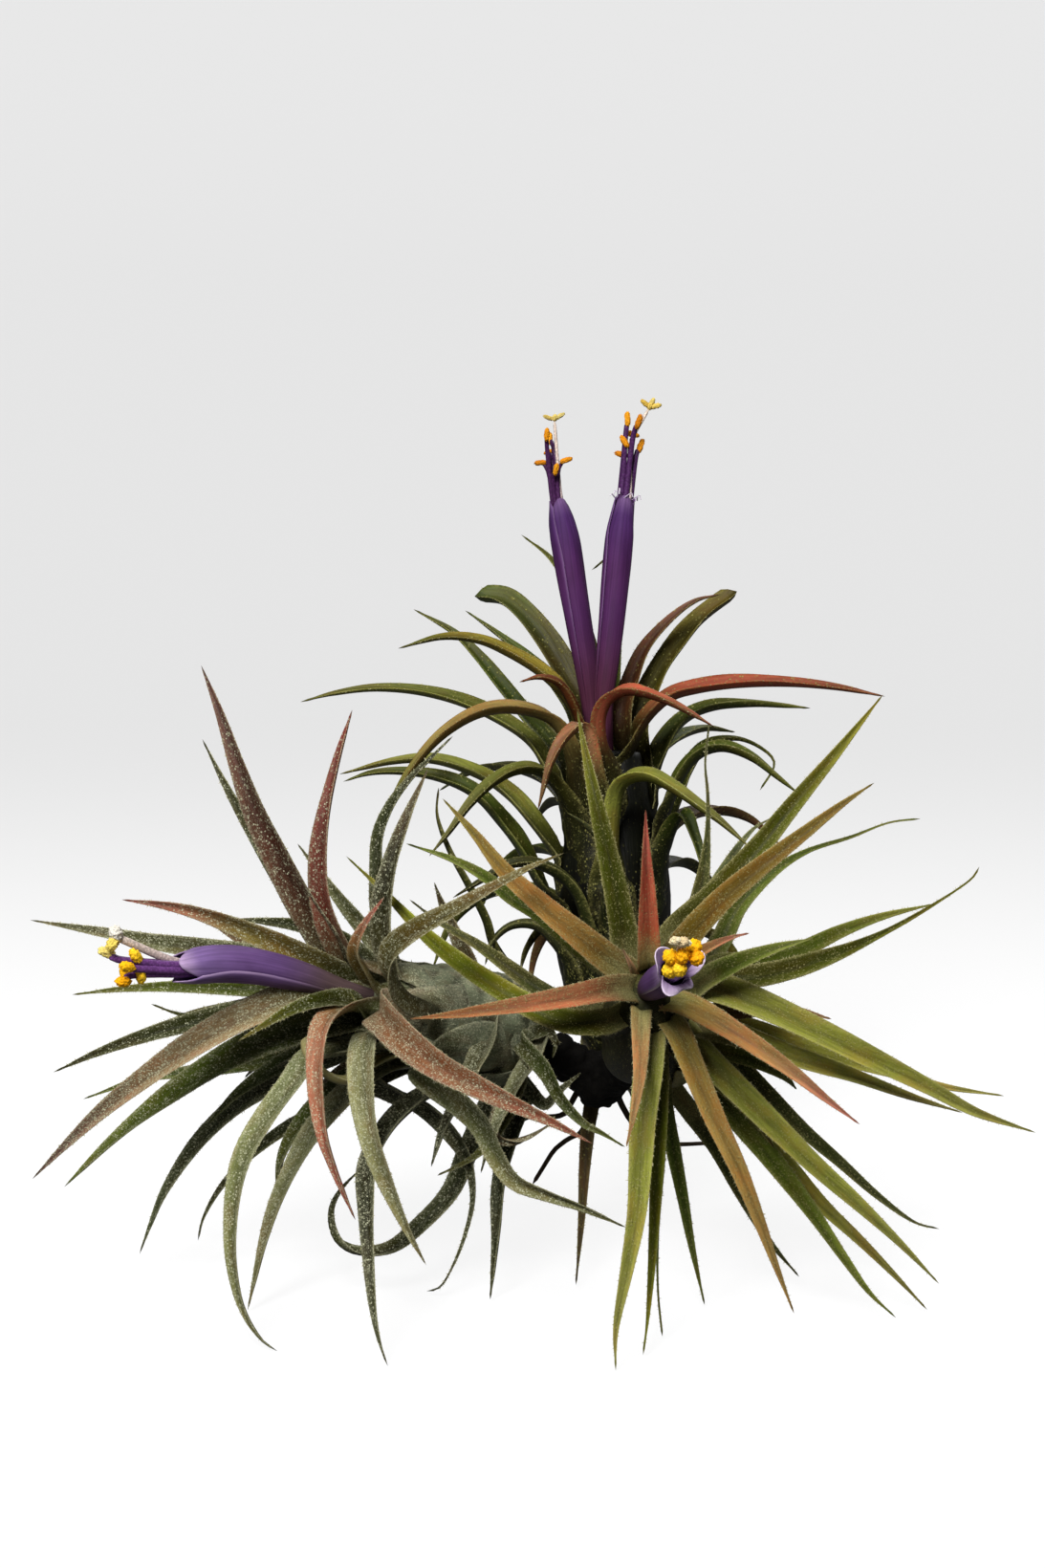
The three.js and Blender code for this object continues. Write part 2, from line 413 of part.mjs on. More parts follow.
// Leaf path: sunk in the core, out over the bulb, then through the measured points
function leafPath(axis, measured) {
  const first = measured[0];
  const offset = first.clone().sub(axis.base);
  const along = THREE.MathUtils.clamp(offset.dot(axis.direction), 0.1 * axis.length, axis.length);
  const radial = offset.clone().addScaledVector(axis.direction, -offset.dot(axis.direction));
  const reach = radial.length();
  radial.normalize();
  const beyond = Math.max(0, reach - axis.bulb(along));
  const shoulder = THREE.MathUtils.clamp(along - 0.6 * beyond - 3, 0.14 * axis.length, 0.86 * axis.length);
  const onAxis = (h, r) => axis.base.clone()
    .addScaledVector(axis.direction, h)
    .addScaledVector(radial, r);
  const lift = Math.min(axis.bulb(shoulder) - 0.5, reach);
  const root = onAxis(shoulder - 3, Math.max(1, lift - 3));
  return [root, onAxis(shoulder, lift)].concat(measured);
}

function sideOf(axis, path) {
  const reach = path[path.length - 1].clone().sub(path[1]);
  const middle = path[Math.floor(path.length / 2)].clone().sub(path[1]);
  const lean = reach.add(middle);
  const facing = axis.direction.clone().lerp(TOWARD, FACE_TURN[axis.name]);
  return new THREE.Vector3().crossVectors(facing, lean).normalize();
}

// Leaves on the unseen side: golden-angle turns, older leaves lower and more arched
function hiddenLeaves(axis) {
  const { count, facing, spread, lengths, lean, seed } = HIDDEN_LEAVES[axis.name];
  const random = makeRandom(seed);
  const right = new THREE.Vector3(...facing).cross(axis.direction).negate().normalize();
  const out = new THREE.Vector3().crossVectors(right, axis.direction).normalize();
  const leaves = [];
  for (let i = 0; i < count; i += 1) {
    const turn = ((i * 0.618034 + 0.5) % 1) * 2 - 1;
    const angle = turn * spread;
    const age = 1 - (i + 0.5) / count;
    const start = axis.length * (0.9 - 0.62 * age);
    const length = lengths[0] + (lengths[1] - lengths[0]) * random();
    const droop = 0.35 + 1.0 * age + 0.25 * random();
    const radial = out.clone().multiplyScalar(Math.cos(angle)).addScaledVector(right, Math.sin(angle));
    const points = [];
    const here = axis.base.clone()
      .addScaledVector(axis.direction, start)
      .addScaledVector(radial, axis.bulb(start));
    let bend = lean + 0.3 * age;
    for (let j = 0; j < 5; j += 1) {
      points.push(here.clone());
      const step = length / 4.5;
      here.addScaledVector(axis.direction, step * Math.cos(bend));
      here.addScaledVector(radial, step * Math.sin(bend));
      bend += droop * 0.44;
    }
    leaves.push([3.8 + 1.0 * random(), points]);
  }
  return leaves;
}

// The bulb core under the leaf sheaths
function bulbCore(axis) {
  const right = new THREE.Vector3().crossVectors(axis.direction, ACROSS).normalize();
  if (right.length() < 0.5) {
    right.copy(UP);
  }
  const front = new THREE.Vector3().crossVectors(right, axis.direction).normalize();
  const rings = [0.0, 0.1, 0.24, 0.42, 0.6, 0.77, 0.92].map((u) => {
    const radius = axis.bulb(u * axis.length) - 0.8;
    const ring = [];
    for (let j = 0; j < 10; j += 1) {
      const angle = (j / 10) * 2 * Math.PI;
      ring.push(axis.base.clone()
        .addScaledVector(axis.direction, u * axis.length)
        .addScaledVector(right, radius * Math.cos(angle))
        .addScaledVector(front, radius * Math.sin(angle)));
    }
    return ring;
  });
  return shellOf(rings, null, null);
}

function tubeSolid(curve, stations, radiusAt, sides, endPoint = null, lobes = 0) {
  const frames = bladeFrames(curve, tubeSide(curve), stations);
  const rings = frames.map(({ point, lateral, inward, s }, i) => {
    const along = new THREE.Vector3().crossVectors(lateral, inward);
    const lift = i === frames.length - 1 ? lobes : 0;
    const ring = [];
    for (let j = 0; j < sides; j += 1) {
      const angle = (j / sides) * 2 * Math.PI;
      const radius = radiusAt(s);
      ring.push(point.clone()
        .addScaledVector(lateral, radius * Math.cos(angle))
        .addScaledVector(inward, radius * Math.sin(angle))
        .addScaledVector(along, lift * Math.cos(3 * angle)));
    }
    return ring;
  });
  return shellOf(rings, null, endPoint);
}

function tubeSide(curve) {
  const along = curve.getTangentAt(0.5);
  const side = new THREE.Vector3(1, 0, 0);
  if (Math.abs(along.x) > 0.8) {
    side.set(0, 1, 0);
  }
  return side.addScaledVector(along, -side.dot(along)).normalize();
}

function largestPiece(solid) {
  const pieces = solid.decompose();
  let best = pieces[0];
  pieces.forEach((piece) => {
    if (piece.volume() > best.volume()) {
      best = piece;
    }
  });
  return best;
}

// Corolla tube, grown by a margin when it is used to clear the crown
function corollaRadius(s, widest, mouth, grow) {
  const base = 0.95;
  const rise = Math.sin(Math.min(1, s / 0.76) * Math.PI / 2);
  let radius = base + (widest - base) * Math.pow(rise, 1.1);
  if (s > 0.76) {
    const u = (s - 0.76) / 0.24;
    radius = widest + (mouth - widest) * u * u * (3 - 2 * u);
  }
  return radius + grow;
}

const COROLLA_STATIONS = [0, 0.16, 0.34, 0.52, 0.68, 0.8, 0.91];
const BORE_STATIONS = [0.46, 0.62, 0.75, 0.86, 1];
const COROLLA_LOBE = 0.7;
const SEAT = 0.56;
const STYLE_LIFT = 0.35;

function corollaOuter(flower, grow) {
  const points = flower[3].map(place);
  const back = points[0].clone().sub(points[1]).normalize();
  points[0].addScaledVector(back, grow);
  const stations = COROLLA_STATIONS.concat([1]);
  const radius = (s) => corollaRadius(s, flower[1], flower[2], grow);
  return tubeSolid(smoothCurve(points), stations, radius, 12, null, COROLLA_LOBE);
}

function corollaBore(flower) {
  const points = flower[3].map(place);
  const curve = smoothCurve(points);
  const ahead = curve.getTangentAt(1);
  const longer = smoothCurve(points.concat([curve.getPointAt(1).addScaledVector(ahead, 3)]));
  const radius = (s) => {
    const t = Math.min(1, s * longer.getLength() / curve.getLength());
    return corollaRadius(t, flower[1], flower[2], 0) - COROLLA_WALL;
  };
  return tubeSolid(longer, BORE_STATIONS, radius, 9);
}

function corolla(flower) {
  return largestPiece(corollaOuter(flower, 0).subtract(corollaBore(flower)));
}

// Six filaments and the style stand in a ring of seven places, in the order their tips take
function bundlePlaces(flower, anthers, stigma) {
  const curve = smoothCurve(flower[3].map(place));
  const mouth = curve.getPointAt(1);
  const along = curve.getTangentAt(1);
  const side = tubeSide(curve);
  const other = new THREE.Vector3().crossVectors(along, side).normalize();
  const bearing = (tip) => {
    const away = place(tip).sub(mouth);
    return Math.atan2(away.dot(other), away.dot(side));
  };
  const start = bearing(stigma);
  const turnOf = (tip) => (bearing(tip) - start + 4 * Math.PI) % (2 * Math.PI);
  const order = anthers.map((tip, i) => i).sort((i, j) => turnOf(anthers[i]) - turnOf(anthers[j]));
  const spokes = [];
  for (let k = 0; k < 7; k += 1) {
    const angle = start + (k / 7) * 2 * Math.PI;
    spokes.push(side.clone().multiplyScalar(Math.cos(angle)).addScaledVector(other, Math.sin(angle)));
  }
  return { curve, order, spokes, side, other };
}

function bundleLine(curve, spoke, from, tip) {
  const at = (s) => curve.getPointAt(s).addScaledVector(spoke, BUNDLE_RADIUS);
  return smoothCurve([at(from), at(0.5 * (from + 1)), at(1), tip]);
}

// Filaments with their anthers, joined at a disc inside the tube
function stamens(flower, anthers, stigma) {
  const { curve, order, spokes, side, other } = bundlePlaces(flower, anthers, stigma);
  const seat = curve.getPointAt(SEAT);
  const seatAlong = curve.getTangentAt(SEAT);
  const rings = [-1.2, 0].map((lift) => {
    const ring = [];
    for (let j = 0; j < 9; j += 1) {
      const angle = (j / 9) * 2 * Math.PI;
      ring.push(seat.clone()
        .addScaledVector(seatAlong, lift)
        .addScaledVector(side, 1.3 * Math.cos(angle))
        .addScaledVector(other, 1.3 * Math.sin(angle)));
    }
    return ring;
  });
  const parts = [shellOf(rings, null, null)];
  order.forEach((i, rank) => {
    const gate = curve.getPointAt(1).addScaledVector(spokes[rank + 1], BUNDLE_RADIUS);
    const centre = place(anthers[i]);
    const tip = centre.clone().addScaledVector(centre.clone().sub(gate).normalize(), 1);
    const path = bundleLine(curve, spokes[rank + 1], SEAT - 0.02, tip);
    const grain = 2.2 / path.getLength();
    const swell = [0, 0.4, 0.75, 1 - grain, 1 - 0.8 * grain, 1 - 0.2 * grain];
    const radius = (s) => (s > 1 - 0.9 * grain ? ANTHER_RADIUS : FILAMENT_RADIUS);
    parts.push(tubeSolid(path, swell, radius, 4, path.getPointAt(1)));
  });
  return largestPiece(wasm.Manifold.union(parts));
}

// Style with a three-lobed stigma
function pistil(flower, anthers, stigma) {
  const { curve, spokes, side, other } = bundlePlaces(flower, anthers, stigma);
  const top = place(stigma);
  const foot = SEAT + STYLE_LIFT / curve.getLength();
  const path = bundleLine(curve, spokes[0], foot, top);
  const parts = [tubeSolid(path, [0, 0.3, 0.6, 0.8, 1], () => STYLE_RADIUS, 4)];
  const along = path.getTangentAt(1);
  for (let k = 0; k < 3; k += 1) {
    const angle = 0.5 + (k / 3) * 2 * Math.PI;
    const spoke = side.clone().multiplyScalar(Math.cos(angle)).addScaledVector(other, Math.sin(angle));
    const start = top.clone().addScaledVector(along, -0.6);
    const end = top.clone().addScaledVector(spoke, 1.5).addScaledVector(along, 0.3);
    const lobe = smoothCurve([start, start.clone().lerp(end, 0.5), end]);
    parts.push(tubeSolid(lobe, [0.2, 0.8], (s) => 0.38 + 0.3 * s, 4, end));
  }
  return largestPiece(wasm.Manifold.union(parts));
}

// The short stem that joins the three rosettes, with a few wiry roots
const ROOTS = [
  [[1, -3, -8], [-2, -9, -16], [-6, -13, -24], [-11, -20, -28]],
  [[1, -3, -8], [4, -9, -15], [10, -13, -20], [17, -13, -26]],
  [[-1, -3, -7], [-7, -8, -11], [-12, -9, -18], [-19, -14, -20]],
  [[2, -2, -9], [3, -6, -19], [0, -6, -29], [-4, -12, -36]],
];

function stemSolid(grow) {
  const heart = place([-0.5, -3, -4]);
  const parts = [];
  Object.keys(AXES).forEach((name) => {
    const axis = rosetteAxis(name);
    const end = axis.base.clone().addScaledVector(axis.direction, 2.5);
    const path = smoothCurve([heart, heart.clone().lerp(axis.base, 0.6), end]);
    const knobs = (s) => 5.4 - 2.9 * s + 0.45 * Math.cos(11 * s + 1) + grow;
    const cap = grow > 0 ? end.clone().addScaledVector(axis.direction, 4 * grow) : null;
    parts.push(tubeSolid(path, [0, 0.27, 0.5, 0.74, 1], knobs, 8, cap));
  });
  ROOTS.forEach((root) => {
    const path = smoothCurve([heart].concat(root.map(place)));
    const taper = (s) => ROOT_RADIUS * (1.3 - 0.6 * s) + grow;
    parts.push(tubeSolid(path, [0, 0.25, 0.5, 0.75, 1], taper, 4));
  });
  return wasm.Manifold.union(parts);
}

function stem() {
  return largestPiece(stemSolid(0));
}

function rosetteLeaves(name) {
  const axis = rosetteAxis(name);
  const tables = { back: BACK_LEAVES, left: LEFT_LEAVES, right: RIGHT_LEAVES };
  const seen = tables[name].map(([width, points]) => [width, points.map(place)]);
  return seen.concat(hiddenLeaves(axis)).map(([width, points]) => {
    const path = leafPath(axis, points);
    return { width, path, curve: smoothCurve(path), side: sideOf(axis, path) };
  });
}

function rosetteSolid(name) {
  const axis = rosetteAxis(name);
  const parts = [bulbCore(axis)];
  rosetteLeaves(name).forEach(({ width, curve, side }) => {
    parts.push(blade(curve, side, width, Math.min(SHEATH_WIDTH, 1.45 * width)));
  });
  return wasm.Manifold.union(parts);
}

function rosette(name) {
  let solid = rosetteSolid(name);
  FLOWERS.filter((flower) => flower[0] === name).forEach((flower) => {
    solid = solid.subtract(corollaOuter(flower, COROLLA_GAP));
  });
  solid = solid.subtract(stemSolid(STEM_GAP));
  return largestPiece(solid.simplify(0.02));
}

// Named meshes
function meshOf(name, solid, colour, roughness) {
  const { vertProperties, triVerts } = solid.getMesh();
  const geometry = new THREE.BufferGeometry();
  geometry.setAttribute('position', new THREE.BufferAttribute(new Float32Array(vertProperties), 3));
  geometry.setIndex(new THREE.BufferAttribute(new Uint32Array(triVerts), 1));
  geometry.computeVertexNormals();
  const material = new THREE.MeshStandardMaterial({ color: colour, roughness, metalness: 0 });
  material.flatShading = true;
  const mesh = new THREE.Mesh(geometry, material);
  mesh.name = name;
  return mesh;
}

const plant = new THREE.Group();
plant.name = 'sky_plant';
plant.add(meshOf('rosette_back', rosette('back'), 0x66743a, 0.75));
plant.add(meshOf('rosette_left', rosette('left'), 0x86815a, 0.8));
plant.add(meshOf('rosette_right', rosette('right'), 0x8b8f3c, 0.7));
plant.add(meshOf('stem', stem(), 0x3d3226, 0.9));
FLOWERS.forEach((flower, i) => {
  plant.add(meshOf(`corolla_${i + 1}`, corolla(flower), 0x67407f, 0.5));
  plant.add(meshOf(`stamens_${i + 1}`, stamens(flower, ANTHERS[i], STIGMAS[i]), 0xe0a020, 0.8));
  plant.add(meshOf(`pistil_${i + 1}`, pistil(flower, ANTHERS[i], STIGMAS[i]), 0xe6dcae, 0.6));
});

// Origin at the middle of the footprint, on the floor
const box = new THREE.Box3().setFromObject(plant);
const centre = box.getCenter(new THREE.Vector3());
plant.children.forEach((mesh) => {
  mesh.geometry.translate(-centre.x, -centre.y, -box.min.z);
});

export default plant;
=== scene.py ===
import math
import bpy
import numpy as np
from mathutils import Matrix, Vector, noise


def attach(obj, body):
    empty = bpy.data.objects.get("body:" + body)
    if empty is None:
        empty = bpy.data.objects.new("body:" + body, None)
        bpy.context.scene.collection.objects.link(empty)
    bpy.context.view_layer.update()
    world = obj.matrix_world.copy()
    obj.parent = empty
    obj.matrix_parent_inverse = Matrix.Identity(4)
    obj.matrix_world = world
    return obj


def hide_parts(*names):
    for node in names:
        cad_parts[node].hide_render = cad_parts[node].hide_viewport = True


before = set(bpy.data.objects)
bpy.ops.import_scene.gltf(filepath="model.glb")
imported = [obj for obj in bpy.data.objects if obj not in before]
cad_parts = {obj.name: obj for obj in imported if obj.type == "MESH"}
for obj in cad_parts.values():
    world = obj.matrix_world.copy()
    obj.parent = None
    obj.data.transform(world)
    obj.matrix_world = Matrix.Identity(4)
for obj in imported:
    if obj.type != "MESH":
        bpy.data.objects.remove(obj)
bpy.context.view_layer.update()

# %% [markdown]
# # A flowering sky plant
#
# Three air plant rosettes grow from one short woody stem. The frame that was just loaded holds
# the plain solids. This script gives the plant its looks: every leaf with its channel, colours
# and silver scales, the rolled petals, the filaments, the anthers, the stem and its roots.

# %% [markdown]

# %% [markdown]
# Leaves and flowers are placed in a measuring frame: millimetres across, up and toward the
# viewer, counted from the heart of the clump where the three bulbs meet. The viewer stands one
# metre away and looks down by 15 degrees.

# %% The measuring frame
HEART = np.array([11.77, -0.96, 35.04])
SIGHT = 1000.0
TILT = math.radians(15)
VIEW_CENTRE = (-12.8, 44.6)
ACROSS = np.array([1.0, 0.0, 0.0])
UP = np.array([0.0, math.sin(TILT), math.cos(TILT)])
TOWARD = np.array([0.0, -math.cos(TILT), math.sin(TILT)])
MM = 0.001


def place(spot):
    """A measured spot in the part's frame, in millimetres."""
    across, up, toward = spot
    k = 1 - toward / SIGHT
    a = VIEW_CENTRE[0] + (across - VIEW_CENTRE[0]) * k
    b = VIEW_CENTRE[1] + (up - VIEW_CENTRE[1]) * k
    return HEART + a * ACROSS + b * UP + toward * TOWARD


# %% [markdown]
# Every rosette has an axis from the stem to its crown. The numbers below are the driving sizes of
# the rosettes and of the leaves that face away from the viewer. Blunt and fine tips name leaves by
# their number in the tables that follow.

# %% Rosette sizes
AXES = {
    "back": ((3, 0, -13), (1, 54, -20)),
    "left": ((-12, 4, -2), (-39, 10.5, 20)),
    "right": ((7.7, 0.8, 5), (8.3, 12, 38)),
}
BULB_RADIUS = {"back": 10.5, "left": 10.0, "right": 9.5}
BULB_POWER = {"back": 0.95, "left": 0.8, "right": 0.8}
SHEATH_RUN = {"back": 17.0, "left": 14.0, "right": 9.0}
SHEATH_SHARE = {"back": 1.45, "left": 2.3, "right": 1.5}
SHEATH_FADE = {"back": (-2, 11), "left": (-5, 4), "right": (-4, 4)}
HIDDEN_COUNT = {"back": 16, "left": 10, "right": 5}
HIDDEN_FACING = {"back": (0, 1, 0), "left": (-0.1, 1, -0.7), "right": (0.5, 0.8, -0.8)}
HIDDEN_SPREAD = {"back": 0.95, "left": 0.7, "right": 0.6}
HIDDEN_LENGTH = {"back": (32, 40), "left": (32, 42), "right": (22, 30)}
HIDDEN_LEAN = {"back": 0.8, "left": 0.5, "right": 0.5}
HIDDEN_SEED = {"back": 71, "left": 72, "right": 73}
HIDDEN_TINTS = ["green", "olive", "rust", "dark", "green", "grey", "dark"]
BLUNT_TIPS = {"back": (6, 14), "left": (39,), "right": ()}
FINE_TIPS = {"back": (19,), "left": (10,), "right": (4, 6, 7, 22)}
LEAF_THICKNESS = 0.95
LEAST_HALF_WIDTH = 0.17
GOLDEN_TURN = 0.618034
FACE_TURN = {"back": 0.3, "left": 0.32, "right": 0.0}

# %% [markdown]
# The leaves of each rosette, as tint, width of the blade and the points from where the blade is
# first seen to its tip.

# %% Leaves
BACK_LEAVES = [
    ("moss", 4.4, [(-8, 46, -17), (-12, 52, -19), (-20, 56.8, -22), (-28, 59.3, -25),
        (-36, 60, -27), (-43, 59.2, -28), (-48.5, 57.8, -28)]),
    ("amber", 4.8, [(-5, 50, -14), (-8, 55, -11), (-14, 56.8, -8), (-20, 56, -5), (-26, 52.3, -3),
        (-31, 46.5, -1), (-34.3, 41, 0), (-36.3, 37.8, 1)]),
    ("moss", 4.8, [(-7, 33, -17), (-11, 38.5, -18), (-15, 43, -20), (-20, 46.3, -21),
        (-27, 48.5, -22), (-34, 48.2, -23), (-42.2, 46.2, -23)]),
    ("green", 5.2, [(-10, 29, -11), (-13, 34.5, -9), (-16, 38.5, -9), (-20, 42.8, -9),
        (-25, 45.3, -10), (-31, 46.5, -11), (-37, 46.4, -12), (-41.6, 45, -13)]),
    ("lime2", 4.4, [(-7, 44, -9), (-10, 46.8, -6), (-14, 46.8, -3), (-18, 44.5, -1),
        (-21.5, 41, 1), (-24.5, 37, 2), (-27.8, 33, 3)]),
    ("dark", 3.0, [(-12, 12, -10), (-17, 18, -6), (-18.7, 23, -3), (-21.5, 28.5, -1),
        (-24.5, 34, 0), (-26.5, 39.5, 1), (-26.3, 44, 1)]),
    ("rusty", 5.4, [(-3, 56, -22), (-6, 62, -24), (-9, 67, -26), (-12.5, 71.5, -28),
        (-16, 74.3, -30), (-20.5, 74.8, -31)]),
    ("green", 3.8, [(-4, 54, -24), (-8, 61, -28), (-12, 65, -31), (-15.5, 67.7, -33),
        (-18.5, 70, -34), (-22, 72.5, -35)]),
    ("green", 4.4, [(-7, 49, -22), (-12, 55, -26), (-16, 60, -29), (-20, 65, -32), (-24, 69, -34),
        (-30.3, 72.7, -36)]),
    ("brass", 4.6, [(-4, 55, -16), (-6.5, 59.5, -15), (-10, 62.8, -14), (-15, 65.8, -13),
        (-20, 67.8, -12), (-26, 68.2, -11), (-32.8, 66.4, -10)]),
    ("red", 3.8, [(-3.5, 54, -15), (-5, 58, -13), (-7, 60.8, -11), (-10, 61.8, -9),
        (-13.3, 61, -8)]),
    ("green", 3.8, [(-1, 57, -27), (-2, 66, -31), (-4.5, 74, -33), (-8, 80.5, -34),
        (-13, 84.7, -34)]),
    ("green", 3.2, [(1.5, 57, -27), (2.2, 68, -32), (2.7, 77, -35), (1.4, 81, -35),
        (-1.7, 79, -34)]),
    ("brick", 4.2, [(3.5, 56, -20), (4.8, 61, -23), (7, 66.3, -25), (11, 71, -27), (15, 74, -28),
        (19, 75.1, -28)]),
    ("shade", 4.6, [(6, 54, -24), (8.5, 61, -27), (12, 66.5, -30), (16, 71.3, -33),
        (21.7, 75.6, -35)]),
    ("flame", 5.0, [(4, 49, -16), (6.5, 54.5, -14), (10.5, 58.5, -14), (15, 60, -15),
        (22, 60.9, -15), (30, 60.9, -15), (38, 60.1, -15), (45.5, 58.7, -15)]),
    ("flame", 4.6, [(0.5, 48, -10), (-0.3, 54, -9), (0.7, 57.8, -7), (3.5, 59.6, -5), (7, 59.2, -3),
        (11, 57.7, -1), (15, 55.6, 1), (18, 53.8, 2)]),
    ("green", 4.6, [(8, 46, -20), (10.3, 51.5, -22), (13.5, 55.3, -24), (18, 57.2, -26),
        (24, 57.6, -27), (29, 57.3, -28), (33.5, 56.8, -28)]),
    ("green", 4.8, [(10, 40, -14), (12.5, 46, -13), (15.5, 49.5, -12), (19.5, 50.6, -11),
        (24, 49, -10), (28, 46, -9), (31.8, 42.9, -9)]),
    ("green", 4.0, [(11, 40, -22), (14, 47, -25), (17, 51, -27), (21.5, 52, -28),
        (25.5, 50.5, -29), (27.7, 47.8, -29), (25.4, 43.6, -29)]),
    ("fern", 5.6, [(1.5, 30, -7), (2, 40, -5), (3.3, 44.8, -2), (7, 46, 2), (11, 44.2, 4),
        (15, 41.5, 6), (19.5, 38.2, 8), (24, 34.2, 9)]),
    ("tan", 4.4, [(-1.8, 46, -9), (-2.2, 51, -7), (-3.4, 53.8, -5), (-5.8, 52.2, -3),
        (-8.2, 48, -2), (-10.3, 40.5, -1)]),
    ("grey", 3.0, [(1, 25, -4), (0, 34, 0), (-2.2, 37.7, 3), (-5.6, 40, 5)]),
    ("green", 3.8, [(10.5, 36, -10), (12.8, 39.8, -6), (14.8, 36, -4), (16, 32, -3), (17, 27, -2)]),
    ("grey", 3.4, [(-6, 17, -8), (-10, 21.5, -6), (-14.5, 21.8, -5), (-17.8, 19, -4),
        (-18.8, 15.5, -4)]),
    ("dark", 3.4, [(-5, 17, -11), (-9, 21.5, -11), (-12, 18.5, -11), (-13.3, 14, -11)]),
    ("dark", 4.6, [(-2, 20, -4), (-4, 27, -1), (-8.5, 31, 1), (-14, 31.8, 2), (-19.5, 29, 2),
        (-24, 26.3, 2)]),
    ("dry", 3.0, [(-1.5, -5, -13), (-2.2, -11, -11), (-2.8, -18, -8), (-3.3, -26, -4),
        (-4.2, -36, 1)]),
    ("olive", 4.6, [(5, -3, -24), (6, -6, -34), (6.3, -10, -44), (6.3, -14, -49.5),
        (6.2, -18.5, -53.7)]),
]

